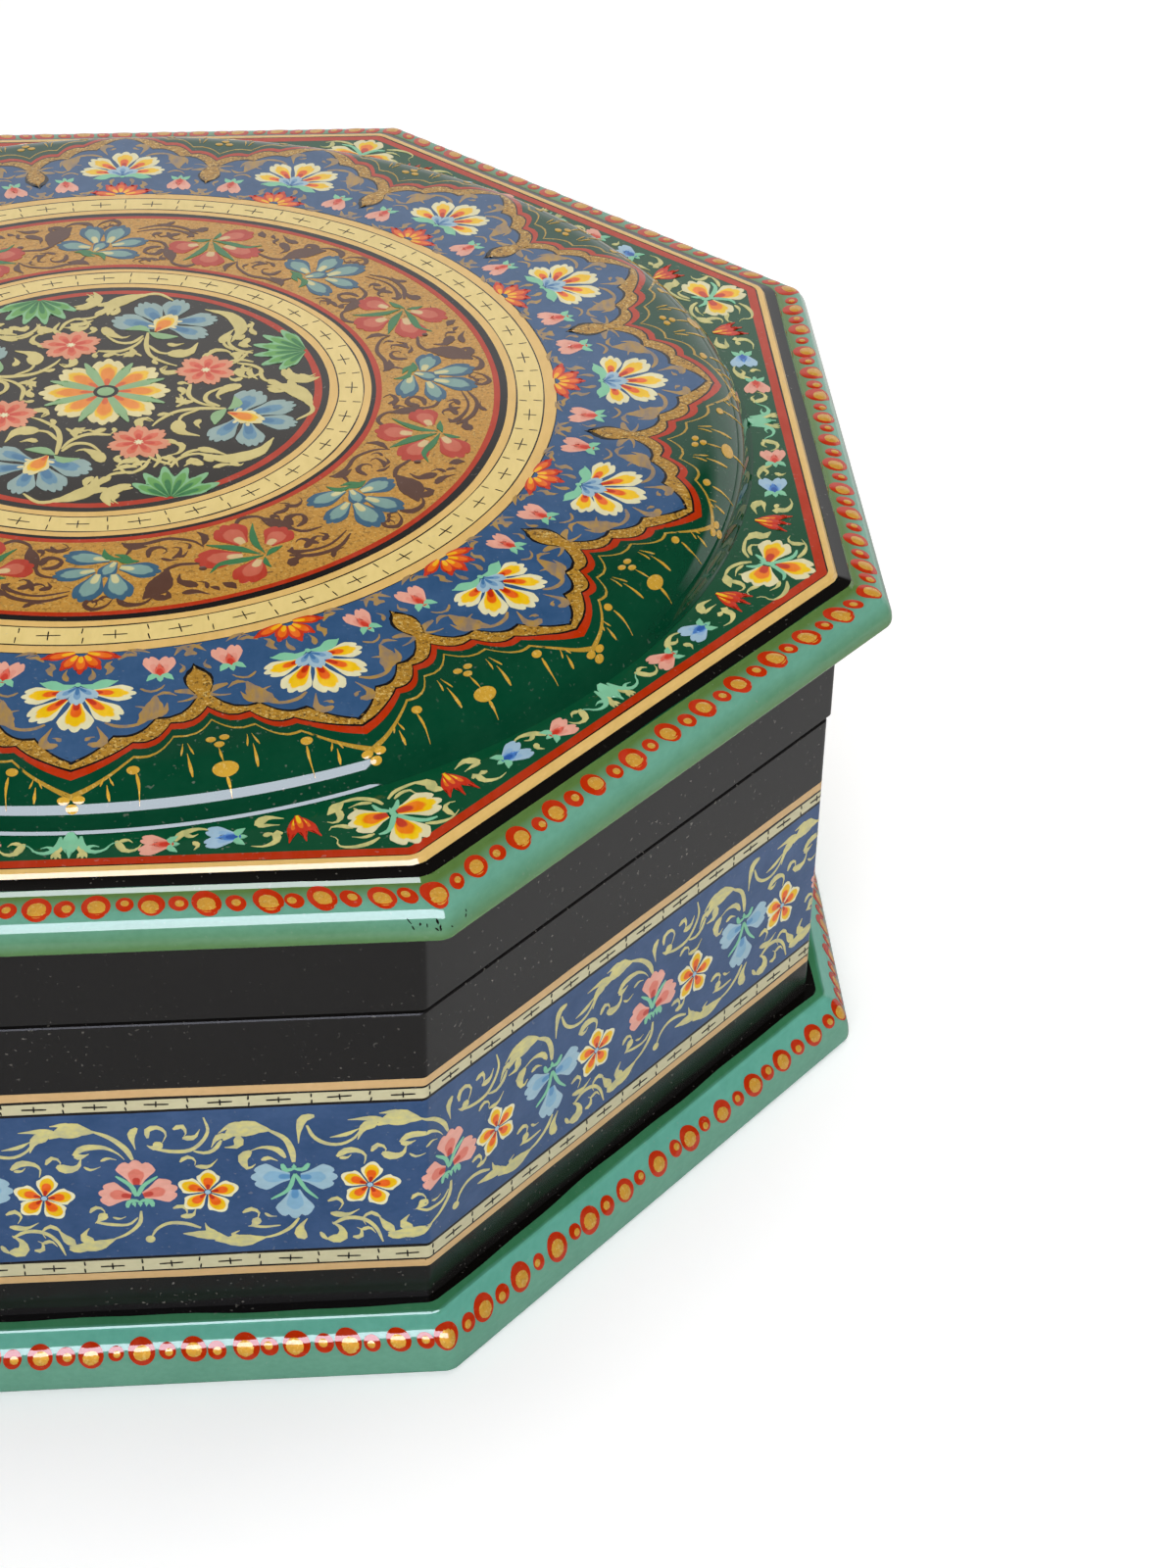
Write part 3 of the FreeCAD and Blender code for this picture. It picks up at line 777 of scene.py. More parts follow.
# Petals: their edge, two washes and root, and how far up the petal each wash reaches.
PETALS = {
    "bright_petal": ("E4DDB3", "F2C21A", "E8641C", "BE2E12", (0.78, 0.46, 0.25)),
    "corner_petal": ("E0D8AC", "F1C618", "EE7F1E", "C4402A", (0.82, 0.58, 0.32)),
    "rosette_petal": ("EDE6BC", "F0BC14", "EC641A", "B92F1B", (0.78, 0.50, 0.20)),
    "poppy_petal": ("C5321A", "E2701F", "F0C021", "F0C021", (0.40, 0.25, 0.01)),
    "daisy_petal": ("C8371A", "E86C1A", "F2B41E", "F2B41E", (0.62, 0.30, 0.01)),
    "tulip_petal": ("E6A591", "E29784", "DC7C69", "DC7C69", (0.56, 0.34, 0.01)),
    "tulip_heart": ("E18E7B", "DA6450", "CC3C2B", "CC3C2B", (0.82, 0.50, 0.01)),
    "pink_petal": ("E9A897", "DF7C6A", "C2463A", "B8342A", (0.58, 0.26, 0.01)),
    "ice_petal": ("A0BECB", "86AFC9", "5F92BC", "5F92BC", (0.62, 0.26, 0.01)),
    "bluebell_petal": ("A2C0D5", "93B6D5", "7AA5D2", "7AA5D2", (0.56, 0.34, 0.01)),
    "bluebell_heart": ("7EA9D6", "4C7EC2", "2F5CA8", "2F5CA8", (0.82, 0.50, 0.01)),
    "ring_blue_petal": ("3B6079", "7E9F98", "CFC793", "CFC793", (0.74, 0.30, 0.01)),
    "ring_red_petal": ("B63E2C", "C7664E", "D6B886", "D6B886", (0.66, 0.28, 0.01)),
    "disc_bright_petal": ("E4D69C", "F0BE24", "EA8A2C", "D6602A", (0.76, 0.60, 0.22)),
    "disc_blue_petal": ("93AAA6", "6790A8", "4D7A9C", "E4D7A2", (0.66, 0.44, 0.14)),
    "disc_coral_petal": ("DE9270", "DC6A4C", "D04C36", "E8CFA4", (0.66, 0.42, 0.08)),
    "disc_green_petal": ("84B886", "64A050", "357A44", "2B6E3C", (0.72, 0.46, 0.20)),
    "calyx_petal": ("9FBBCB", "7199BC", "4676A6", "4676A6", (0.62, 0.36, 0.01)),
}
# What each painted part moves with, and the slot of its paint.
PARTS = {
    "medallion": ("lid", "medallion_lacquer"), "border": ("lid", "lid_board_lacquer"),
    "lid_roll": ("lid", "lid_board_lacquer"), "base_roll": ("base", "base_board_lacquer"),
    "wall": ("base", "wall_lacquer"),
}
paints = {}
films = {}


def paint(pigment):
    """The material of a pigment, made once."""
    if pigment not in paints:
        if pigment in GILDINGS:
            paints[pigment] = gilding(pigment, *GILDINGS[pigment])
        elif pigment in PETALS:
            paints[pigment] = petal_paint(pigment, *PETALS[pigment])
        else:
            paints[pigment] = lacquer(pigment, *PIGMENTS[pigment])
    return paints[pigment]


def film(part, pigment, layer=""):
    """The film of one pigment on one part, begun when it is first painted with."""
    key = part + "_" + pigment + layer
    if key not in films:
        films[key] = Film(key, paint(pigment), *PARTS[part])
    return films[key]


def mirrored(lay):
    """The same surface with the drawing turned over on it."""
    return lambda x, y, lift: lay(-x, y, lift)


# The drawings below are on pattern sheets, in small steps of about a thirtieth of a millimetre.
SHEET = 0.0357
RING_TOP = 66.402
LOBE_REACH = 55.335
GOLD_TOP = 39.984
GOLD_UNIT = 720.0

# How far each lobe's tip and the valley after it stray from even spacing, in degrees, from the right round.
STRAY = [1.0, 2.2, 2.6, 1.8, 1.5, 1.2, 1.2, 1.0, 0.9, 0.6, 0.2, 0.8, 0.4, -0.4, 0.3, 0.8,
         0.2, -0.3, 0.5, 1.0, 0.3, -0.2, 0.4, 0.1, 0.1, 0.75, 1.2, 0.8, 1.0, 0.1, 0.1, 0.5]


def stray(a):
    """How far a drawing at that angle strays round the medallion."""
    u = (a / TURN * 32) % 32
    i = int(u)
    f = (u - i) ** 2 * (3 - 2 * (u - i))
    return math.radians(STRAY[i % 32] * (1 - f) + STRAY[(i + 1) % 32] * f)


def lobe_sheet(turn):
    """The pattern sheet of a lobe, x from its axis and y down towards the middle of the lid."""
    def lay(x, y, lift):
        a = turn + x * SHEET / LOBE_REACH
        a += stray(a)
        r = RING_TOP - y * SHEET
        return on_lid(r * math.cos(a), r * math.sin(a), lift)
    return lay


def gold_sheet(turn):
    """The pattern sheet of an eighth of the gold ring."""
    def lay(x, y, lift):
        a = turn + x * EIGHTH / GOLD_UNIT
        r = GOLD_TOP - y * SHEET
        return on_lid(r * math.cos(a), r * math.sin(a), lift)
    return lay


def around(centre, way, near, far):
    """Base and tip of a petal that leaves centre at that angle, degrees from the sheet's up."""
    a = math.radians(way)
    out = Vector((math.sin(a), -math.cos(a)))
    return Vector(centre) + out * near, Vector(centre) + out * far


LOBE_SCROLLS = [
    ("comma", 22, 34, 212, 56, 206, 68, 226, 62, 250, 52, 278), ("comma", 12, 28, 224, 36, 236, 48, 238),
    ("stem", 11, 70, 292, 95, 275, 130, 272, 160, 288, 182, 322),
    ("leaf", 44, 142, 282, 176, 318, 190, 386), ("comma", 22, 150, 298, 166, 335, 140, 348),
    ("comma", 24, 178, 300, 206, 322, 214, 350), ("leaf", 12, 188, 382, 214, 392, 240, 374),
    ("head", 18, 238, 348, 262, 350, 290, 364, 272, 384, 236, 392),
    ("stem", 8, 156, 418, 178, 402, 202, 408, 216, 424), ("comma", 16, 30, 466, 40, 490, 34, 514),
    ("leaf", 20, 72, 486, 86, 508, 74, 526, 90, 542),
    ("comma", 12, 106, 546, 130, 564, 160, 560, 140, 580, 122, 568),
    ("leaf", 12, 134, 586, 170, 578, 194, 564), ("comma", 20, 322, 534, 300, 548, 318, 566, 346, 574),
    ("leaf", 13, 258, 540, 282, 568, 314, 576), ("comma", 12, 262, 466, 276, 486, 266, 504),
]


def paint_lobe(turn):
    """The palmette, half daisy, tulips and scrolls of one lobe."""
    lay = lobe_sheet(turn)
    sides = [lay, mirrored(lay)]
    bright = film("medallion", "bright_petal")
    for way, near, far, width in ((0, 44, 152, 86), (-41, 42, 148, 76), (41, 42, 148, 76),
                                  (-80, 34, 132, 68), (80, 34, 134, 68)):
        base, tip = around((0, 424), way + hand.uniform(-2, 2), near, far)
        bright.petal(lay, base, tip, width, 3, 0.13, FAN, 1, 0.26)
    calyx = film("medallion", "calyx_petal")
    for way, far, width in ((-50, 62, 36), (50, 62, 36), (0, 66, 44)):
        base, tip = around((0, 440), way, 4, far)
        calyx.petal(lay, base, tip, width, 3, 0.10, FAN, 2)
    mint = film("medallion", "mint", "_leaves")
    for side in sides:
        mint.stroke(side, [(4, 450), (34, 440), (72, 444), (104, 460)], 26, "leaf", 2)
        mint.stroke(side, [(40, 452), (70, 460), (98, 458)], 16, "leaf", 2)
    mint.dot(lay, (0, 450), 8, 3)
    for way, far, width in ((0, 98, 44), (-37, 96, 42), (37, 96, 42), (-74, 122, 34), (74, 122, 34)):
        base, tip = around((2, 588), way + hand.uniform(-3, 3), 20, far)
        film("medallion", "daisy_petal").petal(lay, base, tip, width, form=OVAL, level=1, round_end=0.2)
    for side in sides:
        paint_tulip("medallion", turned(side, 208, 452, hand.uniform(-0.12, 0.12)), "tulip")
        film("medallion", "ochre", "_scrolls").strokes(side, LOBE_SCROLLS, 0, 1.14)


def paint_tulip(part, lay, kind):
    """A hanging tulip drawn from its stalk at the origin, downwards: two petals, its heart and its leaves."""
    leaf = film(part, "mint", "_leaves")
    for side in (-1, 1):
        film(part, kind + "_petal").petal(lay, (side * 4, 6), (side * 27, 84), 46, 2, 0.12, FAN, 1, 0.2)
        leaf.stroke(lay, [(0, 8), (side * 16, 12), (side * 34, -8)], 23, "leaf", 4)
    film(part, kind + "_heart").petal(lay, (0, 2), (hand.uniform(-4, 4), 68), 34, form=BELL, level=3)
    leaf.stroke(lay, [(0, 14), (0, -14)], 18, "leaf", 3)


# Each half lobe from its valley to its tip: share of the half lobe, radius, how full the scallop before is.
OUTER_EDGE = [(0.0, 55.98, 1.0), (0.30, 57.65, 2.4), (0.58, 59.80, 2.4), (1.0, 62.85, 2.3)]
INNER_EDGE = [(0.0, 53.0, 1.0), (0.055, 53.3, 1.0), (0.40, 55.75, 2.6), (0.71, 57.80, 2.4), (1.0, 61.15, 2.1)]
TIP_SHARE = 0.36
SCALLOP = 0.28


def lobed_edge(knots, grow=0.0, wobble=0.0, swell=0.0):
    """Radius of a lobed outline at an angle. The last scallop draws in to a point, where swell widens it."""
    def at(x):
        t = abs(1 - 2 * ((x / (math.pi / 8)) % 1.0))
        r = knots[-1][1]
        for (t0, r0, _), (t1, r1, full) in zip(knots, knots[1:]):
            if t <= t1:
                s = (t - t0) / (t1 - t0)
                point = TIP_SHARE if t1 == 1.0 else 0.0
                r = r0 + (r1 - r0) * ((1 - point) * (1 - (1 - s) ** full) + point * s * s)
                r += SCALLOP * (1 - point) * math.sin(math.pi * s) * (t1 - t0 > 0.1)
                break
        return r + grow + swell * t * t + wobble * math.sin(x * 61 + 3 * math.sin(x * 23))
    return at


def lobed_steps():
    """Angles, as shares of a turn, that meet every cusp of the lobed outlines."""
    marks = {1.0}
    for knots in (OUTER_EDGE, INNER_EDGE):
        for (t0, _, _), (t1, _, _) in zip(knots, knots[1:]):
            marks.update(round(t0 + (t1 - t0) * f, 5) for f in (0.0, 0.1, 0.25, 0.45, 0.7))
    halves = sorted(marks)
    turnwise = [0.5 * (1 - t) for t in reversed(halves)][:-1] + [0.5 * (1 + t) for t in halves][:-1]
    return [(k + s) / 16 for k in range(16) for s in turnwise]


LOBE_MARKS = lobed_steps()


def lobed_film(name, pigment, outer, inner, level, rows=2):
    """A ring of film between a lobed outline and a line inside it, its rows closer towards the shoulder."""
    coat = Film(name, paint(pigment), *PARTS["medallion"])
    count = len(LOBE_MARKS)
    lift = LOBE_LIFT + RING_LEVEL * level

    def place(u, v):
        share = LOBE_MARKS[round(v * count) % count] * TURN
        low = inner(share)
        f = (u + 1) / 2
        f = f if rows < 6 else 1 - (1 - f) ** 1.9
        r = low + (outer(share) - low) * f
        a = share + stray(share)
        return on_lid(r * math.cos(a), r * math.sin(a), lift)
    coat.grid(rows, count, place, on_lid, (50, 0))
    films[name] = coat


UNEVEN_EDGE = 0.024


def circle_film(name, pigment, inner, outer, level):
    """A painted ring with a slightly uneven hand-drawn edge."""
    coat = Film(name, paint(pigment), *PARTS["medallion"])
    lift = RING_LEVEL * (1 + level)
    phase = hand.uniform(0, TURN)
    rows = max(1, int((outer - inner) / 3))
    section = [(inner + (outer - inner) * k / rows, 0.0) for k in range(rows + 1)]
    carry_round(coat.bm, outline(coat.bm, section, False, 0.0), ROUND_STEPS)
    for vert in coat.bm.verts:
        r = vert.co.length / MM
        a = math.atan2(vert.co.y, vert.co.x)
        u = 2 * (r - inner) / (outer - inner) - 1
        side = round(u)
        drift = math.sin(9 * a + phase * (2 + side)) + 0.6 * math.sin(23 * a + phase * side)
        r += UNEVEN_EDGE * drift * (r > 0.01)
        vert.co = on_lid(r * math.cos(a), r * math.sin(a), lift) * MM
    bmesh.ops.recalc_face_normals(coat.bm, faces=coat.bm.faces)
    if sum(face.normal.z for face in coat.bm.faces) < 0:
        bmesh.ops.reverse_faces(coat.bm, faces=coat.bm.faces)
    films[name] = coat


def paint_rings():
    """The round bands of the medallion, from the middle outwards."""
    for name, pigment, inner, outer, level in (
            ("centre_black", "disc_black", 0.0, 22.75, 0),
            ("centre_scarlet_line", "scarlet", 21.05, 21.81, 1),
            ("inner_peach_band", "peach", 22.57, 26.95, 1),
            ("inner_cream_band", "band_cream", 23.50, 26.01, 3),
            ("inner_band_rim", "ink", 26.83, 27.35, 2), ("gold_ring_bed", "gold_ring", 27.2, 40.2, 0),
            ("gold_ring_inner_line", "scarlet", 27.29, 27.88, 3),
            ("gold_ring_outer_line", "scarlet", 39.26, 39.86, 3),
            ("outer_band_rim", "ink", 39.82, 40.66, 2), ("outer_peach_band", "peach", 40.60, 45.66, 1),
            ("outer_cream_band", "band_cream", 41.62, 44.34, 3), ("outer_band_line", "ink", 45.60, 45.86, 3)):
        circle_film(name, pigment, inner, outer, level)
    for name, r, width in (("inner_line_a", 23.47, 0.13), ("inner_line_b", 26.03, 0.13),
                           ("outer_line_a", 41.60, 0.14),
                           ("outer_line_b", 44.37, 0.14)):
        circle_film(name, "ink", r - width / 2, r + width / 2, 5)
    lobed_film("lobe_scarlet", "scarlet", lobed_edge(OUTER_EDGE, 0.05), lobed_edge(OUTER_EDGE, -1.1), 0, 5)
    lobed_film("lobe_outer_ink", "ink", lobed_edge(OUTER_EDGE, -0.70, 0.04), lobed_edge(OUTER_EDGE, -1.2),
               1, 3)
    lobed_film("lobe_gold", "gold_band", lobed_edge(OUTER_EDGE, -0.92, 0.03), lobed_edge(INNER_EDGE, -0.5),
               2, 6)
    lobed_film("lobe_inner_ink", "ink", lobed_edge(INNER_EDGE, 0.30, 0.04), lobed_edge(INNER_EDGE, -0.3), 3,
               3)
    lobed_film("lobe_blue", "field_blue", lobed_edge(INNER_EDGE), lambda a: 45.70, 4, 12)
    lobed_film("lobe_gold_line", "gold_line", lobed_edge(OUTER_EDGE, 1.25, 0.03, 0.12),
               lobed_edge(OUTER_EDGE, 1.02, 0.03, -0.02), 0, 2)


def paint_ticks(part, lay, length, low, high, count, pen):
    """Ink dashes and small crosses along a cream band, x along it and y across, as wide as the pen."""
    ink = film(part, "ink", "_ticks")
    step = length / count
    wide = high - low
    for k in range(count):
        x = (k + 0.5) * step + hand.uniform(-0.12, 0.12)
        drift = hand.uniform(-0.10, 0.10)
        ink.stroke(lay, [(x, low + wide * 0.01), (x + drift, low + wide * 0.34)], pen, "line", 2, 0.0)
        ink.stroke(lay, [(x - drift, high - wide * 0.38), (x, high - wide * 0.02)], pen, "line", 2, 0.0)
        x = k * step + hand.uniform(-0.15, 0.15)
        y = (low + high) / 2 + hand.uniform(-0.06, 0.06)
        arm = min(1.1, step * 0.21)
        ink.stroke(lay, [(x - arm, y), (x + arm, y + drift)], pen, "line", 2, 0.0)
        ink.stroke(lay, [(x + drift / 2, y - wide * 0.28), (x, y + wide * 0.28)], pen, "line", 2, 0.0)


BUD = (0.50, 0.46, 0.58, 0.94, 1.0, 0.74, 0.10)
BUD_RIM = (0.52, 0.76, 1.0, 0.96, 0.66, 0.12)


def paint_valleys():
    """The gold buds in the valleys, the dots on the tips and the sprays of gold on the green."""
    for k in range(16):
        turn = (k + 0.5) * TURN / 16
        lay = lobe_sheet(turn)
        film("medallion", "ink", "_buds").petal(lay, (0, 370), (0, 498), 80, form=BUD_RIM, level=3,
                                                round_end=0.1)
        film("medallion", "gold_band", "_buds").petal(lay, (0, 326), (0, 486), 66, form=BUD, level=5,
                                                      round_end=0.1)
        drops = film("medallion", "gold_drop")
        drops.dot(lay, (0, 92), 28, 1, 0.03, 0.60)
        drops.stroke(lay, [(1, 77), (3, 60), (4, 42)], 7.5, "comma", 1)
        drops.stroke(lay, [(0, 109), (-2, 128), (-3, 148)], 6, "leaf", 1)
        for at in ((0, 160), (-15, 182), (16, 184)):
            drops.dot(lay, at, 11.5, 1, 0.02, 0.85)
        lay = lobe_sheet(k * TURN / 16)
        for at in ((-15, 60), (16, 61), (1, 48)):
            drops.dot(lay, at, 13, 1, 0.02, 0.5)
        for side in (lay, mirrored(lay)):
            drops.dot(side, (130 + hand.uniform(-8, 8), 118 + hand.uniform(-5, 8)), 13, 1, 0.02, 0.8)
            drops.stroke(side, [(130, 106), (133, 78), (131, 46)], 6.5, "comma", 1)
            paint_spray(side, 72, 56, 46, 0.9)
            paint_spray(side, 234, 84, 96, 1.0)


def paint_spray(lay, x, top, tall, size):
    """A pointed bud of gold on a fine tail, with two small leaves over it."""
    drops = film("medallion", "gold_drop")
    drops.stroke(lay, [(x, top + tall * 0.62), (x + 1, top + tall * 0.34), (x + 3, top)], 8 * size, "head", 1)
    for side in (-1, 1):
        leaf = [(x + side * out, top + tall * down) for out, down in ((5, 1), (8, 0.8), (13, 0.58))]
        drops.stroke(lay, leaf, 5 * size, "head", 1)


GOLD_BLUE = [((196, 188), (160, 78), 80), ((234, 184), (250, 76), 76), ((252, 214), (342, 178), 80),
             ((186, 206), (86, 178), 70), ((226, 254), (104, 276), 74), ((240, 240), (206, 178), 54)]
GOLD_RED = [((596, 134), (524, 60), 88), ((566, 172), (456, 196), 100), ((590, 222), (576, 314), 116),
            ((646, 184), (722, 226), 96)]
GOLD_LEAVES = [
    ("leaf", 22, 612, 147, 560, 152, 502, 158, 466, 130), ("leaf", 26, 608, 156, 566, 208, 497, 257),
    ("leaf", 22, 620, 156, 620, 210, 640, 262, 662, 296), ("leaf", 20, 618, 142, 645, 156, 674, 160),
    ("leaf", 16, 612, 138, 603, 112, 606, 88),
]
GOLD_CALYX = [
    ("leaf", 26, 304, 236, 270, 240, 236, 262), ("leaf", 24, 250, 250, 216, 268, 210, 304),
    ("leaf", 18, 286, 246, 268, 262, 240, 276),
]
GOLD_SCROLLS = [
    ("comma", 20, 240, 74, 256, 44, 296, 42, 326, 76), ("leaf", 64, 296, 60, 338, 110, 372, 184),
    ("stem", 13, 360, 178, 400, 194, 440, 186, 466, 178), ("comma", 26, 318, 62, 352, 58, 352, 92),
    ("comma", 22, 384, 64, 414, 62, 442, 38), ("comma", 30, 424, 84, 404, 104, 388, 122, 396, 152),
    ("comma", 12, 442, 66, 446, 92, 428, 104), ("leaf", 14, 450, 70, 462, 60, 466, 46),
    ("leaf", 26, 480, 76, 496, 58, 502, 38), ("leaf", 14, 262, 326, 288, 304, 266, 262),
    ("stem", 13, 270, 322, 330, 314, 402, 322, 466, 292, 488, 254),
    ("leaf", 30, 262, 330, 284, 308, 336, 300),
    ("comma", 17, 330, 248, 340, 282, 372, 288, 388, 268, 372, 256),
    ("comma", 15, 392, 228, 414, 240, 426, 272, 402, 276), ("comma", 13, 364, 236, 382, 222, 408, 218),
    ("leaf", 24, 488, 260, 508, 296, 494, 328), ("stem", 14, 604, 300, 640, 332, 690, 320, 712, 282),
    ("leaf", 44, 696, 308, 716, 262, 742, 206), ("stem", 12, 736, 216, 756, 184, 804, 172),
    ("comma", 17, 754, 214, 788, 222, 802, 252, 774, 270, 758, 252),
    ("comma", 15, 742, 304, 780, 298, 812, 318, 790, 334), ("comma", 20, 722, 296, 742, 290, 738, 268),
    ("comma", 30, 650, 64, 666, 88, 700, 84), ("stem", 14, 666, 112, 716, 76, 780, 68, 836, 96),
    ("comma", 15, 672, 134, 700, 108, 760, 92), ("comma", 20, 714, 118, 740, 138, 726, 162, 708, 154),
    ("comma", 18, 766, 118, 790, 132, 780, 154), ("comma", 15, 744, 38, 760, 58, 788, 58),
    ("comma", 15, 164, 56, 184, 30, 214, 44, 230, 74), ("comma", 10, 184, 60, 200, 74, 212, 66),
    ("comma", 17, 50, 318, 70, 296, 100, 300, 112, 318), ("comma", 12, 690, 140, 676, 120, 692, 100),
    ("stem", 9, 676, 134, 712, 102, 770, 92, 838, 114),
    ("comma", 15, 752, 114, 744, 136, 768, 144, 782, 126),
    ("comma", 24, 748, 228, 758, 262, 790, 262, 806, 238),
    ("comma", 12, 166, 46, 174, 70, 196, 60, 188, 42), ("comma", 11, 200, 72, 212, 86, 228, 74),
    ("comma", 12, 404, 234, 424, 230, 442, 250), ("comma", 10, 446, 258, 456, 276, 442, 290),
    ("comma", 14, 560, 56, 574, 74, 600, 66),
]


# How far each eighth of the gold ring strays from even spacing, in degrees.
GOLD_STRAY = (-0.54, 1.14, 0.0, 0.18, 0.24, 0.24, 0.24, 0.24)


def paint_gold_ring():
    """Eight blue and eight red flowers among umber scrolls on the gold."""
    for k, drift in enumerate(GOLD_STRAY):
        lay = gold_sheet(math.radians(-100.0 + drift) + k * EIGHTH)
        film("medallion", "ring_blue_petal").petals(lay, GOLD_BLUE, 0.92, 3, 0.10, WEDGE)
        film("medallion", "ring_green", "_leaves").strokes(lay, GOLD_CALYX, 4)
        film("medallion", "ring_red_petal").petals(lay, GOLD_RED, 0.94, 3, 0.10, WEDGE)
        film("medallion", "ring_green", "_leaves").strokes(lay, GOLD_LEAVES, 5)
        film("medallion", "umber", "_scrolls").strokes(lay, GOLD_SCROLLS, 0)
        film("medallion", "umber", "_scrolls").dot(lay, (456, 158), 10, 0)


CENTRE_STEP = 0.03758
CENTRE_BLUE = [((664, 925), (716, 818), 116), ((688, 938), (806, 888), 100), ((702, 962), (812, 990), 96),
               ((690, 980), (704, 1090), 100), ((664, 966), (606, 1062), 92)]
CENTRE_SCROLLS = [
    ("stem", 15, 632, 905, 560, 902, 500, 916, 456, 960, 440, 988),
    ("comma", 36, 672, 782, 634, 800, 608, 836, 618, 856),
    ("stem", 13, 616, 892, 580, 864, 582, 824, 622, 790), ("comma", 44, 508, 962, 514, 1018, 566, 1044),
    ("stem", 11, 560, 908, 516, 940, 508, 990), ("stem", 13, 536, 770, 532, 830, 562, 872, 604, 894),
    ("leaf", 52, 742, 790, 800, 800, 842, 850, 862, 910), ("stem", 13, 856, 880, 862, 930, 820, 972),
    ("comma", 28, 744, 756, 766, 776, 800, 790), ("comma", 24, 744, 800, 770, 818, 806, 812),
    ("comma", 22, 800, 760, 812, 784, 836, 812), ("leaf", 44, 566, 1136, 640, 1162, 720, 1132, 760, 1062),
    ("comma", 28, 562, 1108, 598, 1120, 640, 1144), ("stem", 11, 520, 1142, 548, 1118, 592, 1112),
    ("comma", 16, 604, 1172, 580, 1156, 600, 1136), ("comma", 18, 500, 868, 514, 846, 506, 822),
    ("stem", 11, 690, 600, 664, 646, 640, 668), ("comma", 28, 664, 690, 672, 730, 700, 742),
    ("stem", 12, 660, 660, 704, 676, 728, 712, 690, 746),
    ("comma", 26, 786, 700, 800, 736, 852, 752, 872, 738), ("comma", 16, 830, 728, 854, 742, 874, 726),
    ("comma", 16, 392, 968, 410, 950, 436, 962), ("comma", 22, 476, 1060, 502, 1074, 516, 1100),
    ("comma", 20, 648, 1180, 672, 1196, 682, 1186), ("stem", 10, 500, 890, 520, 870, 524, 846),
    ("leaf", 26, 498, 840, 520, 866, 552, 860), ("comma", 20, 566, 960, 556, 980, 566, 1006),
    ("comma", 24, 408, 994, 404, 962, 424, 944, 442, 962), ("comma", 16, 452, 934, 472, 924, 494, 934),
    ("leaf", 40, 800, 694, 806, 738, 848, 760, 884, 746), ("stem", 12, 722, 702, 732, 752, 768, 776),
    ("stem", 12, 702, 604, 662, 588, 636, 548, 642, 502), ("comma", 22, 690, 520, 680, 552, 698, 570),
    ("stem", 12, 456, 1130, 464, 1160, 450, 1196), ("comma", 22, 468, 1148, 500, 1158, 514, 1196),
    ("comma", 20, 536, 1182, 552, 1160, 578, 1178), ("comma", 18, 604, 1204, 634, 1190, 664, 1198),
    ("comma", 20, 362, 1166, 352, 1142, 374, 1126), ("stem", 11, 374, 1128, 402, 1150, 420, 1190),
    ("comma", 20, 396, 1188, 420, 1166, 444, 1172),
    ("comma", 18, 504, 1074, 522, 1092, 514, 1126, 482, 1140), ("comma", 24, 504, 786, 518, 812, 508, 836),
    ("comma", 16, 500, 766, 518, 762, 532, 772), ("comma", 18, 640, 612, 668, 606, 690, 622),
    ("leaf", 22, 700, 690, 694, 720, 716, 752),
]


def paint_centre():
    """The black middle: one eight-petalled flower, four coral, four blue and four green ones, and scrolls."""
    def sheet(turn):
        c, s = math.cos(turn), math.sin(turn)

        def lay(x, y, lift):
            px, py = (x - 310) * CENTRE_STEP, (800 - y) * CENTRE_STEP
            return on_lid(px * c - py * s, px * s + py * c, lift)
        return lay
    lay = sheet(0)
    for k in range(8):
        base, tip = around((310, 800), 45 * k, 32, 162)
        film("medallion", "disc_bright_petal").petal(lay, base, tip, 94, 3, 0.11, FAN, 1)
    for k in range(8):
        base, tip = around((310, 800), 22.5 + 45 * k, 34, 172)
        film("medallion", "sage", "_leaves").petal(lay, base, tip, 31, form=STRAP, level=3)
    film("medallion", "ink", "_buds").dot(lay, (310, 800), 34, 3, 0.0)
    film("medallion", "sage", "_leaves").dot(lay, (310, 800), 23, 5, 0.01)
    for k in range(4):
        lay = sheet(-k * TURN / 4 + hand.uniform(-0.03, 0.03))
        film("medallion", "disc_blue_petal").petals(lay, CENTRE_BLUE, 0.80, 4, 0.10, FAN)
        film("medallion", "disc_bright_petal").petal(lay, (638, 926), (726, 972), 74, 2, 0.1, HEART, 3)
        sage = film("medallion", "sage", "_leaves")
        sage.stroke(lay, [(638, 910), (662, 884), (654, 842)], 30, "leaf", 4)
        sage.stroke(lay, [(634, 908), (610, 942), (604, 988)], 34, "leaf", 4)
        centre = (575, 695)
        for j in range(7):
            base, tip = around(centre, 360 / 7 * j + 8, 6, 76)
            film("medallion", "disc_coral_petal").petal(lay, base, tip, 52, 3, 0.14, FAN, 1)
        film("medallion", "cream", "_hearts").dot(lay, centre, 8, 3)
        for way, far in ((-30, 138), (-53, 150), (-76, 152), (-99, 150), (-122, 142), (-145, 126)):
            base, tip = around((850, 596), way, 8, far)
            film("medallion", "disc_green_petal").petal(lay, base, tip, 42, form=HEART, level=1)
        film("medallion", "straw", "_scrolls").strokes(lay, CENTRE_SCROLLS, 0)


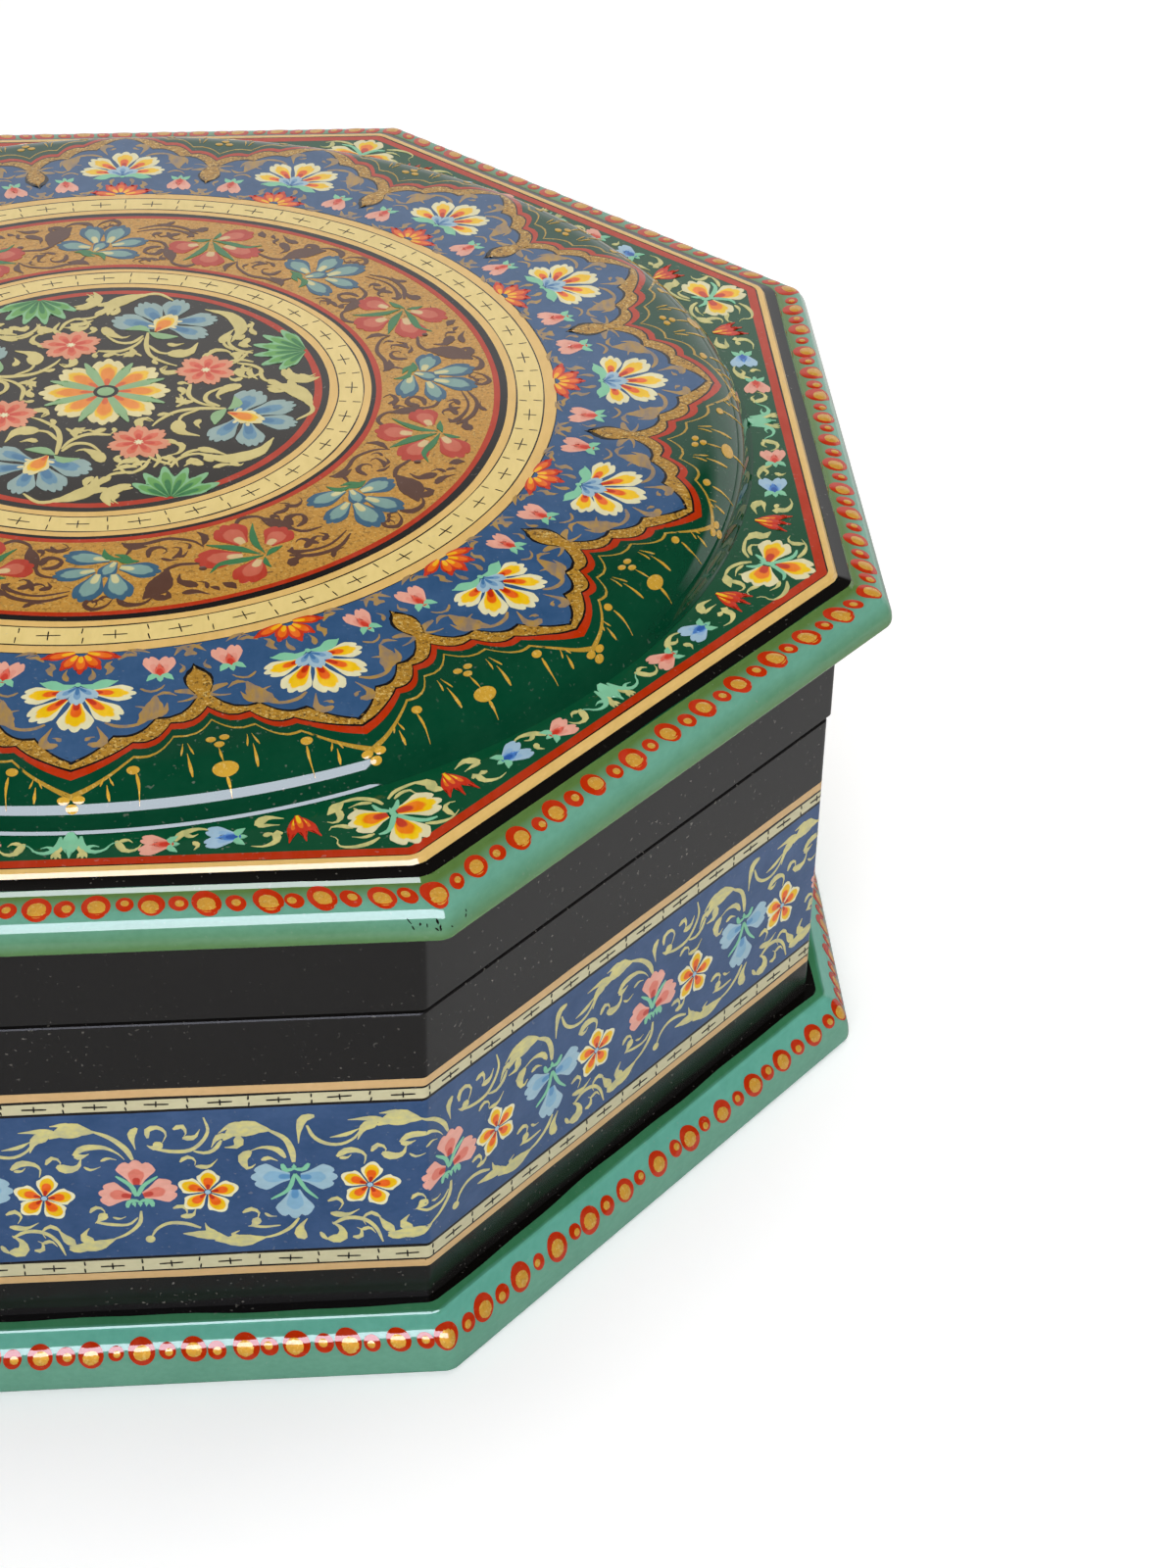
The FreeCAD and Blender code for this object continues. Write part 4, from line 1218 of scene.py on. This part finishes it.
WALL_STEP = 0.02975
WALL_PERIOD = 988.0
WALL_SCROLLS = [
    ("stem", 18, 480, 328, 462, 282, 420, 234, 366, 202),
    ("leaf", 62, 372, 208, 318, 196, 268, 206, 238, 226), ("comma", 28, 318, 190, 284, 174, 244, 176),
    ("comma", 26, 262, 208, 212, 196, 148, 198), ("comma", 38, 238, 214, 196, 232, 176, 282),
    ("leaf", 15, 182, 236, 142, 258, 92, 268),
    ("comma", 24, 304, 300, 336, 272, 396, 272, 436, 298, 456, 326),
    ("comma", 22, 306, 306, 330, 306, 352, 296), ("comma", 12, 384, 328, 408, 318, 432, 326),
    ("comma", 10, 332, 350, 352, 364, 382, 352), ("comma", 24, 502, 196, 484, 226, 492, 286),
    ("comma", 18, 532, 240, 534, 206, 566, 198, 588, 226, 574, 262),
    ("comma", 34, 572, 262, 546, 282, 528, 270),
    ("stem", 14, 548, 286, 600, 300, 654, 298, 692, 266, 714, 218, 704, 164),
    ("comma", 18, 610, 208, 636, 196, 648, 222, 640, 242), ("comma", 22, 636, 246, 672, 244, 690, 212),
    ("stem", 20, 966, 366, 962, 316, 942, 264, 894, 226),
    ("leaf", 68, 902, 228, 846, 216, 792, 226, 758, 262), ("comma", 30, 830, 204, 782, 204, 744, 232),
    ("comma", 34, 804, 246, 800, 288, 760, 292), ("comma", 22, 772, 240, 740, 250, 720, 290),
    ("stem", 14, 752, 262, 730, 298, 700, 312, 666, 302),
    ("comma", 20, 942, 346, 918, 310, 872, 298, 832, 314),
    ("comma", 36, 838, 312, 812, 342, 826, 386, 850, 368), ("comma", 16, 868, 352, 892, 344, 918, 358),
    ("comma", 28, 1036, 176, 1002, 186, 988, 232, 984, 288),
    ("stem", 13, 1012, 214, 1030, 262, 1066, 292, 1112, 298, 1152, 276, 1172, 244),
    ("comma", 26, 1098, 350, 1128, 326, 1166, 330, 1186, 352, 1180, 386),
    ("comma", 14, 1106, 356, 1130, 356, 1142, 344), ("comma", 15, 622, 346, 642, 326, 668, 338, 666, 362),
    ("comma", 17, 668, 366, 708, 370, 736, 340), ("comma", 18, 1204, 334, 1222, 308, 1248, 320, 1244, 344),
    ("comma", 32, 1236, 342, 1268, 358, 1300, 348, 1312, 312),
    ("comma", 16, 1064, 540, 1092, 528, 1110, 552, 1096, 580),
    ("comma", 22, 1070, 592, 1120, 602, 1160, 580), ("stem", 14, 490, 548, 482, 600, 442, 644, 392, 668),
    ("leaf", 48, 404, 664, 340, 692, 258, 690), ("comma", 34, 334, 682, 306, 648, 326, 614),
    ("comma", 32, 276, 684, 250, 650, 230, 612), ("comma", 15, 236, 618, 208, 598, 182, 620, 190, 650),
    ("comma", 24, 258, 700, 300, 708, 340, 700), ("comma", 16, 334, 546, 350, 526, 374, 532, 380, 556),
    ("comma", 32, 382, 552, 360, 580, 346, 592), ("stem", 12, 352, 590, 400, 602, 448, 604, 478, 576),
    ("comma", 9, 402, 570, 422, 578, 442, 570), ("comma", 16, 588, 542, 616, 534, 632, 558, 620, 576),
    ("comma", 20, 610, 578, 646, 576, 658, 546), ("stem", 14, 972, 608, 944, 648, 898, 678, 850, 688),
    ("leaf", 50, 868, 686, 796, 696, 708, 690), ("leaf", 36, 760, 690, 706, 668, 612, 654),
    ("comma", 28, 716, 672, 690, 640, 682, 612), ("comma", 22, 790, 688, 764, 668, 786, 652),
    ("stem", 14, 668, 632, 622, 610, 572, 606, 534, 628, 514, 664),
    ("comma", 16, 800, 574, 826, 560, 850, 576, 842, 608), ("comma", 30, 848, 600, 830, 630, 814, 634),
    ("stem", 11, 822, 632, 864, 640, 914, 636), ("comma", 11, 868, 580, 884, 594, 904, 596),
    ("comma", 36, 990, 698, 974, 678, 976, 646, 998, 612), ("comma", 17, 1036, 674, 1052, 702, 1080, 710),
    ("comma", 42, 1060, 704, 1100, 702, 1102, 662, 1074, 632),
    ("stem", 15, 1076, 640, 1122, 616, 1174, 626, 1210, 666, 1230, 728),
    ("comma", 18, 1136, 700, 1160, 702, 1164, 672, 1150, 660),
    ("comma", 14, 1162, 672, 1190, 664, 1208, 688),
]
WALL_PINK = [((484, 434), (490, 340), 118), ((464, 482), (376, 462), 108), ((502, 480), (592, 456), 108)]
WALL_ICE = [((952, 426), (850, 424), 108), ((984, 430), (1086, 436), 112), ((965, 484), (962, 592), 118)]
WALL_LEAVES = [
    ("stem", 15, 480, 482, 466, 436, 424, 394), ("stem", 15, 484, 482, 506, 438, 550, 402),
    ("stem", 17, 450, 530, 454, 508, 472, 500, 490, 508),
    ("stem", 17, 528, 530, 524, 508, 506, 500, 488, 508), ("comma", 15, 470, 508, 474, 528),
    ("comma", 15, 490, 508, 490, 528), ("comma", 15, 510, 508, 508, 528),
    ("stem", 17, 930, 372, 940, 398, 966, 394), ("stem", 17, 1012, 374, 994, 398, 966, 394),
    ("comma", 16, 966, 392, 966, 374), ("stem", 14, 967, 416, 944, 482, 890, 520),
    ("stem", 14, 969, 416, 998, 482, 1034, 526),
]


def wall_sheet(start):
    """The pattern sheet of the wall band: x runs round the box, y downwards."""
    return lambda x, y, lift: on_wall(-11.424 + x * WALL_STEP + start, 34.838 - y * WALL_STEP, lift)


def paint_wall_flowers(k):
    """One period of the wall band: two five-petalled flowers, a pink and a blue one, and scrolls."""
    lay = wall_sheet(k * WALL_PERIOD * WALL_STEP)
    for x, y in ((203 + hand.uniform(-6, 6), 476), (700 + hand.uniform(-6, 6), 478)):
        first = hand.uniform(-12, 14)
        for j in range(5):
            way = first + 72 * j + hand.uniform(-5, 5)
            base, tip = around((x, y), way, 12, 97)
            film("wall", "rosette_petal").petal(lay, base, tip, 68, form=ROUND, level=1, round_end=0.26)
        film("wall", "pale_blue", "_hearts").dot(lay, (x, y), 9, 3)
    film("wall", "pink_petal").petals(lay, WALL_PINK, 1.0, 3, 0.14, FAN)
    film("wall", "ice_petal").petals(lay, WALL_ICE, 1.0, 3, 0.14, FAN)
    film("wall", "mint", "_leaves").strokes(lay, WALL_LEAVES, 5)
    scrolls = film("wall", "wall_straw", "_scrolls")
    scrolls.strokes(lay, WALL_SCROLLS, 0)
    scrolls.dot(lay, (510, 672), 15, 0)


BORDER_STEP = 0.04101
BORDER_SCROLLS = [
    ("comma", 9, 16, 112, 24, 134, 16, 152), ("comma", 9, 24, 134, 34, 140, 36, 152),
    ("comma", 14, 94, 98, 112, 132, 136, 130, 146, 112), ("comma", 9, 100, 100, 118, 96, 128, 106),
    ("comma", 14, 214, 106, 228, 82, 262, 66, 294, 76), ("comma", 10, 232, 84, 250, 92, 262, 84),
    ("comma", 8, 300, 74, 306, 90, 298, 104), ("comma", 12, 252, 110, 262, 124, 254, 138),
    ("comma", 15, 436, 92, 422, 88, 424, 116, 398, 134, 372, 132), ("comma", 18, 380, 62, 402, 36, 438, 40),
    ("comma", 9, 384, 66, 404, 62, 430, 62), ("comma", 12, 396, 98, 412, 92, 420, 102),
]


def border_sheet(face):
    """The pattern sheet of one side of the lid's border: x from the side's middle, y outwards."""
    out = Vector((math.cos(face * EIGHTH), math.sin(face * EIGHTH)))
    along = Vector((-out.y, out.x))

    def lay(x, y, lift):
        p = out * (62.832 + y * 0.03967) + along * (x * BORDER_STEP)
        return on_lid(p.x, p.y, lift)
    return lay


def paint_border(face):
    """One side of the lid's border, and the flower on the corner after it."""
    lay = border_sheet(face)
    mint = film("border", "mint", "_leaves")
    straw = film("border", "green_straw", "_scrolls")
    mint.petal(lay, (0, 70), (0, 149), 36, form=(0.3, 0.85, 1.0, 1.0, 0.85, 0.3), level=2)
    for side in (lay, mirrored(lay)):
        mint.stroke(side, [(21, 78), (24, 108), (44, 132), (70, 128), (84, 108), (98, 102)], 15, "comma", 1)
        mint.stroke(side, [(30, 122), (46, 112), (60, 116)], 10, "comma", 1)
        for x, y in ((36, 150), (27, 153), (18, 150)):
            straw.stroke(side, [(27, 124), (x, y)], 9, "head", 1)
        place = turned(side, 214, 116, math.radians(90), 0.78)
        paint_tulip("border", place, "tulip")
        place = turned(side, 352, 98, math.radians(90), 0.82)
        paint_tulip("border", place, "bluebell")
        place = turned(side, 466, 38, math.radians(hand.uniform(-16, -4)))
        red = film("border", "poppy_petal")
        red.petal(place, (-3, 2), (-30, 88), 25, form=BELL, level=1)
        red.petal(place, (3, 2), (40, 74), 27, form=BELL, level=1)
        red.petal(place, (0, -6), (8, 84), 26, form=BELL, level=3)
        straw.strokes(side, BORDER_SCROLLS, 0, 1.2)
    paint_corner_flower(face)


# Round a corner of the lid, in millimetres: x along the corner and y outwards.
CORNER_PETALS = [((-0.35, -0.05), (-3.85, 0.05), 3.5), ((0.55, 0.0), (3.7, 0.0), 3.6),
                 ((0.0, 0.85), (-0.2, 4.15), 3.7)]
CORNER_LEAVES = [
    ("stem", 0.56, 0.0, 0.2, -0.9, 1.3, -2.1, 2.1, -3.2, 2.1),
    ("stem", 0.54, 0.0, 0.1, 0.6, 1.2, 1.4, 2.1, 2.3, 2.2),
    ("stem", 0.52, 0.1, -0.3, -0.5, -0.6, -1.1, -1.5), ("stem", 0.5, 0.2, -0.4, 0.9, -0.8, 1.2, -1.8),
    ("leaf", 0.6, 0.0, 0.7, 0.05, 0.0, 0.0, -0.8),
]
CORNER_SCROLLS = [
    ("comma", 0.34, -1.9, 2.5, -3.0, 2.85, -4.3, 2.75, -5.3, 2.0),
    ("comma", 0.5, -4.6, 2.5, -4.25, 1.5, -4.7, 0.8, -5.5, 0.8),
    ("comma", 0.34, 2.4, 2.6, 3.6, 2.95, 5.0, 2.8, 6.0, 2.1, 5.7, 1.2, 6.1, 0.6),
    ("comma", 0.3, 2.6, 1.95, 3.6, 2.0, 4.5, 1.5),
    ("comma", 0.42, 3.9, 0.4, 4.7, -0.25, 5.5, -0.5, 5.9, -0.15),
    ("stem", 0.3, -0.4, -2.0, -1.4, -2.75, -3.2, -3.1, -4.4, -3.0),
    ("leaf", 0.95, -3.4, -3.0, -4.5, -2.6, -4.6, -1.6, -5.6, -1.2),
    ("comma", 0.3, -0.9, -1.8, -1.7, -2.3, -2.6, -2.35, -2.9, -1.6, -3.5, -1.4),
    ("stem", 0.34, 0.3, -1.5, 0.8, -2.4, 2.0, -3.2, 3.5, -3.3),
    ("leaf", 0.85, 3.2, -3.3, 4.2, -2.8, 5.2, -2.2),
    ("comma", 0.5, 4.1, -2.6, 4.3, -1.4, 5.0, -0.9, 5.6, -1.3),
    ("comma", 0.28, 1.1, -2.1, 2.1, -2.45, 3.2, -2.3), ("comma", 0.26, 2.8, -2.1, 2.7, -1.6, 3.1, -1.4),
]


def paint_corner_flower(face):
    """Three petals on a corner of the lid, two along it and one outwards, in mint leaves and scrolls."""
    a = (face + 0.5) * EIGHTH
    aside = -0.7 if face == 6 else hand.uniform(-0.6, 0.6)
    corner = turned(on_lid, 69.65 * math.cos(a), 69.65 * math.sin(a), a - math.pi / 2)
    lay = turned(corner, aside, 0.1)
    film("border", "corner_petal").petals(lay, CORNER_PETALS, 1.0, 3, 0.17, FAN)
    film("border", "mint", "_leaves").strokes(lay, CORNER_LEAVES, 3)
    film("border", "green_straw", "_scrolls").strokes(lay, CORNER_SCROLLS, 0, 1.3)


# The moulding of each board, and how far down its section the dots sit.
ROLLS = {"lid_roll": (LID_ROLL, 1.46), "base_roll": (BASE_ROLL, 2.56)}


def paint_nicks():
    """Small black nicks where the lid's moulding has been rubbed, most of them at one corner."""
    ink = film("lid_roll", "ink", "_nicks")
    for face, middle, spread, count in ((6, 29.2, 1.6, 9), (7, -29.5, 1.0, 3), (2, 12.0, 14.0, 4),
                                        (4, -20.0, 8.0, 3)):
        lay = on_moulding(face, LID_ROLL, 4.1)
        for k in range(count):
            x = middle + hand.uniform(-spread, spread)
            y = hand.uniform(-0.5, 0.5)
            ink.stroke(lay, [(x, y), (x + hand.uniform(-0.25, 0.35), y + hand.uniform(0.12, 0.5))],
                       hand.uniform(0.10, 0.26), "leaf", 1, 0.0)


def paint_dots(part):
    """Large and small raised red dots with gold drops in them, round one moulding."""
    run, start = ROLLS[part]
    red = film(part, "vermilion", "_dots")
    gold = film(part, "dot_gold", "_dots")
    for face in range(8):
        lay = on_moulding(face, run, start)
        half = DOTS_OUT * math.tan(EIGHTH / 2)
        count = 13 if face % 2 == 0 else 12
        step = 2 * half / count
        for k in range(count):
            x = -half + k * step + hand.uniform(-0.18, 0.18) * (k > 0)
            y = hand.uniform(-0.12, 0.12)
            size = 1.23 * hand.uniform(0.93, 1.07)
            red.dot(lay, (x, y), size, 1, 0.05, hand.uniform(1.0, 1.12))
            gold.dot(lay, (x + hand.uniform(-0.12, 0.12), y + hand.uniform(0.02, 0.22)), size * 0.72, 3,
                     0.08, hand.uniform(0.95, 1.06))
            x += step / 2 + hand.uniform(-0.22, 0.22)
            y = hand.uniform(-0.12, 0.15)
            size = 0.82 * hand.uniform(0.88, 1.12)
            red.dot(lay, (x, y), size, 1, 0.04, hand.uniform(1.0, 1.12))
            gold.dot(lay, (x + hand.uniform(-0.16, 0.16), y + hand.uniform(-0.10, 0.18)), size * 0.57, 3,
                     0.06, 1.0)


def ring_film(name, pigment, part, section, ease, z_wobble=0.0, half_wobble=0.0):
    """A painted line that runs round all eight sides, with its section given."""
    body, slot = PARTS[part]
    piece = mitred(name, section, ease, True, 26)
    phase = hand.uniform(0, TURN)
    for vert in piece.data.vertices:
        a = math.atan2(vert.co.y, vert.co.x)
        drift = math.sin(7 * a + phase) + 0.7 * math.sin(19 * a + 2 * phase)
        drift += 0.5 * math.sin(43 * a + 3 * phase + vert.co.z * 900)
        vert.co.z += drift * z_wobble * 0.5 * MM
        share = 1 + drift * half_wobble * 0.5 / 70
        vert.co.x *= share
        vert.co.y *= share
    settle(piece, pigment, body, slot)


def wall_line(name, pigment, low, high, level):
    face = WALL_OUT + RING_LEVEL * (1 + level)
    section = [(WALL_OUT - 0.15, low), (face, low), (face, high), (WALL_OUT - 0.15, high)]
    ring_film(name, paint(pigment), "wall", section, WALL_EASE, 0.05)


def lid_line(name, pigment, inner, outer, level):
    top = LID_TOP + RING_LEVEL * (1 + level)
    under = LID_TOP - 0.15
    ring_film(name, paint(pigment), "border", [(inner, under), (outer, under), (outer, top), (inner, top)],
              0.5, 0.0, 0.05)


def skin(points, out=0.02, depth=0.15):
    """The closed section of a coat of paint that follows these section points."""
    top = []
    under = []
    for i, (x, z) in enumerate(points):
        a = points[max(i - 1, 0)]
        b = points[min(i + 1, len(points) - 1)]
        d = math.hypot(b[0] - a[0], b[1] - a[1])
        nx, nz = (a[1] - b[1]) / d, (b[0] - a[0]) / d
        top.append((x + nx * out, z + nz * out))
        under.append((x - nx * depth, z - nz * depth))
    return top + under[::-1]


def paint_lines():
    """The straight painted lines: on the walls, on the lid's border, its step and its moulding."""
    wall_line("wall_ink_top", "ink", 30.80, 33.60, 0)
    wall_line("wall_peach_top", "wall_peach", 32.66, 33.62, 1)
    wall_line("wall_cream_top", "wall_cream", 31.16, 32.38, 1)
    wall_line("wall_blue_band", "wall_blue", 12.64, 30.84, 1)
    wall_line("wall_ink_low", "ink", 10.4, 12.66, 0)
    wall_line("wall_cream_low", "wall_cream", 10.78, 12.30, 1)
    wall_line("wall_peach_low", "wall_peach", 9.72, 10.60, 1)
    foot = skin([(70.6, 5.49), (71.3, 5.485), (71.78, 5.478)])
    ring_film("wall_black_foot", paint("step_black"), "base_roll", foot, BOARD_EASE, 0.0, 0.26)
    lid_line("lid_scarlet_line", "scarlet", 68.95, 69.98, 0)
    lid_line("lid_ink_line", "ink", 69.90, 70.10, 1)
    peach_edge = skin([(70.06, 58.4)] + LID_EDGE, 0.036)
    ring_film("lid_peach_line", paint("peach"), "border", peach_edge, BOARD_EASE)
    step = skin([(70.94, 58.02), (71.03, 57.985), (72.19, 57.77)], 0.03)
    ring_film("lid_step_coat", paint("step_black"), "border", step, BOARD_EASE, 0.0, 0.09)
    jade = moulding_lacquer("jade lid moulding lacquer", "68A08A", "5A7A3E", (0.0728, 0.0747), "5A814E",
                            (0.0543, 0.0566))
    roll = skin([(72.23, 57.77)] + LID_ROLL)
    ring_film("lid_moulding_coat", jade, "border", roll, BOARD_EASE)


# Middles of the two cream bands of the medallion, from the middle of the lid.
OUTER_BAND = 42.98
INNER_BAND = 24.75


def paint_box():
    """All the painting, from the medallion outwards and down."""
    paint_rings()
    paint_valleys()
    for k in range(16):
        paint_lobe(k * TURN / 16)
    paint_gold_ring()
    paint_centre()
    paint_ticks("medallion", round_sheet(OUTER_BAND), TURN * OUTER_BAND, 41.80, 44.16, 46, 0.115)
    paint_ticks("medallion", round_sheet(INNER_BAND), TURN * INNER_BAND, 23.62, 25.89, 27, 0.115)
    around_box = 16 * WALL_PERIOD * WALL_STEP
    paint_ticks("wall", on_wall, around_box, 31.18, 32.38, 86, 0.16)
    paint_ticks("wall", on_wall, around_box, 10.80, 12.26, 86, 0.16)
    paint_lines()
    for k in range(16):
        paint_wall_flowers(k)
    for face in range(8):
        paint_border(face)
    for part in ROLLS:
        paint_dots(part)
    paint_nicks()
    for coat in films.values():
        coat.done()


paint_box()


FLOOR_SIZE = 6.0
FLOOR_UNDER = -0.0002


def grey(tone):
    return (tone, tone, tone, 1)


def make_floor():
    """A white floor just under the box. In the varnish it shows darker close in front of the box and at the
    far right, and white behind it."""
    bm = bmesh.new()
    bmesh.ops.create_grid(bm, x_segments=1, y_segments=1, size=FLOOR_SIZE / 2)
    bmesh.ops.translate(bm, verts=bm.verts, vec=(0, 0, FLOOR_UNDER))
    piece = to_piece(bm, "studio_floor")
    material, n = new_material("studio_floor")
    cloud = n.noise(n.place(), 3.0)
    plain = n.mix(cloud, grey(0.97 * 0.985), grey(0.97))
    x, y, _ = n.split(n.place())
    close = n.times(n.ramp(y, -0.20, -0.13), n.ramp(y, -0.076, -0.070, 1.0, 0.0))
    in_gloss = n.mix(close, grey(0.52), grey(0.265))
    in_gloss = n.mix(n.ramp(y, 0.10, 0.16), in_gloss, grey(0.95))
    in_gloss = n.mix(n.ramp(n.minus(x, y), 0.26, 0.42), in_gloss, grey(0.06))
    path = n.add("ShaderNodeLightPath")
    surface = n.add("ShaderNodeBsdfPrincipled")
    n.put(surface.inputs["Base Color"], n.mix(path.outputs["Is Glossy Ray"], plain, in_gloss))
    surface.inputs["Roughness"].default_value = 0.9
    surface.inputs["Specular IOR Level"].default_value = 0.0
    surface.inputs["Emission Color"].default_value = grey(1.0)
    n.put(surface.inputs["Emission Strength"], n.times(path.outputs["Is Camera Ray"], 0.24))
    out = n.add("ShaderNodeOutputMaterial")
    n.put(out.inputs["Surface"], surface.outputs[0])
    piece.data.materials.append(material)


def make_room():
    """White to the camera. The varnish and the paint see a dim room behind the box, with a pale card in it
    and a glow to its left."""
    world = bpy.data.worlds.new("pale room")
    bpy.context.scene.world = world
    world.use_nodes = True
    world.node_tree.nodes.clear()
    n = Nodes(world.node_tree)
    x, y, z = n.split(n.add("ShaderNodeTexCoord").outputs["Generated"])
    steep = n.plus(n.math("DIVIDE", z, n.math("MAXIMUM", y, 0.1)), n.times(x, 0.1))
    card = n.ramp(steep, 0.56, 0.71, 1.0, 0.0)
    facing = n.ramp(y, 0.30, 0.45)
    left = n.plus(n.times(n.ramp(x, -0.20, 0.08, 0.15, 0.0), facing), 0.05)
    strength = n.plus(n.times(card, facing), left, True)
    background = n.add("ShaderNodeBackground")
    seen = n.add("ShaderNodeLightPath").outputs["Is Camera Ray"]
    n.put(background.inputs["Strength"], n.math("MAXIMUM", strength, seen))
    out = n.add("ShaderNodeOutputWorld")
    n.put(out.inputs["Surface"], background.outputs[0])


# Each lamp: name, place and size in metres, power, colour, whether gloss shows it, whether it lights paint.
LAMPS = (
    ("window_gloss", (0.145, -1.10, 0.65), (1.56, 0.38), 22.0, (0.82, 0.85, 1.0), True, False),
    ("window_fill", (0.14, -0.99, 0.72), (1.45, 0.40), 12.0, (0.94, 0.97, 1.0), False, True),
    ("top_box", (0.15, 0.35, 1.5), (1.2, 1.2), 13.6, (1.0, 0.965, 0.92), False, True),
)
LAMPS_AIM = Vector((0, 0, 0.06))


def soft_box(name, place, size, power, color, in_gloss, on_paint):
    """A soft rectangular lamp turned to the box."""
    light = bpy.data.lights.new(name, "AREA")
    light.shape = "RECTANGLE"
    light.size, light.size_y = size
    light.energy = power
    light.color = color
    lamp = bpy.data.objects.new(name, light)
    lamp.location = place
    lamp.rotation_euler = (LAMPS_AIM - Vector(place)).to_track_quat("-Z", "Y").to_euler()
    lamp.visible_glossy = in_gloss
    lamp.visible_diffuse = on_paint
    bpy.context.scene.collection.objects.link(lamp)


# The photograph's camera: lens and film width in mm, its turn, dip and roll in degrees, its place in metres.
LENS = 68.47
FILM_WIDTH = 36.0
EYE_ANGLES = (5.06, 37.33, -1.14)
EYE_PLACE = (0.02613, -0.26689, 0.21605)


def set_camera():
    """The camera as it stood for the photograph."""
    camera = bpy.data.cameras.new("photo camera")
    camera.lens = LENS
    camera.sensor_width = FILM_WIDTH
    camera.sensor_fit = "AUTO"
    camera.clip_start = 0.01
    eye = bpy.data.objects.new("photo camera", camera)
    yaw, pitch, roll = (math.radians(a) for a in EYE_ANGLES)
    level = Vector((math.sin(yaw), math.cos(yaw), 0))
    right = Vector((math.cos(yaw), -math.sin(yaw), 0))
    ahead = level * math.cos(pitch) - Vector((0, 0, math.sin(pitch)))
    down = ahead.cross(right)
    side = right * math.cos(roll) + down * math.sin(roll)
    under = down * math.cos(roll) - right * math.sin(roll)
    turn = Matrix((side, -under, -ahead)).transposed()
    eye.matrix_world = Matrix.Translation(EYE_PLACE) @ turn.to_4x4()
    bpy.context.scene.collection.objects.link(eye)
    bpy.context.scene.camera = eye


make_floor()
make_room()
for lamp in LAMPS:
    soft_box(*lamp)
set_camera()
bpy.context.scene.view_settings.view_transform = "Standard"
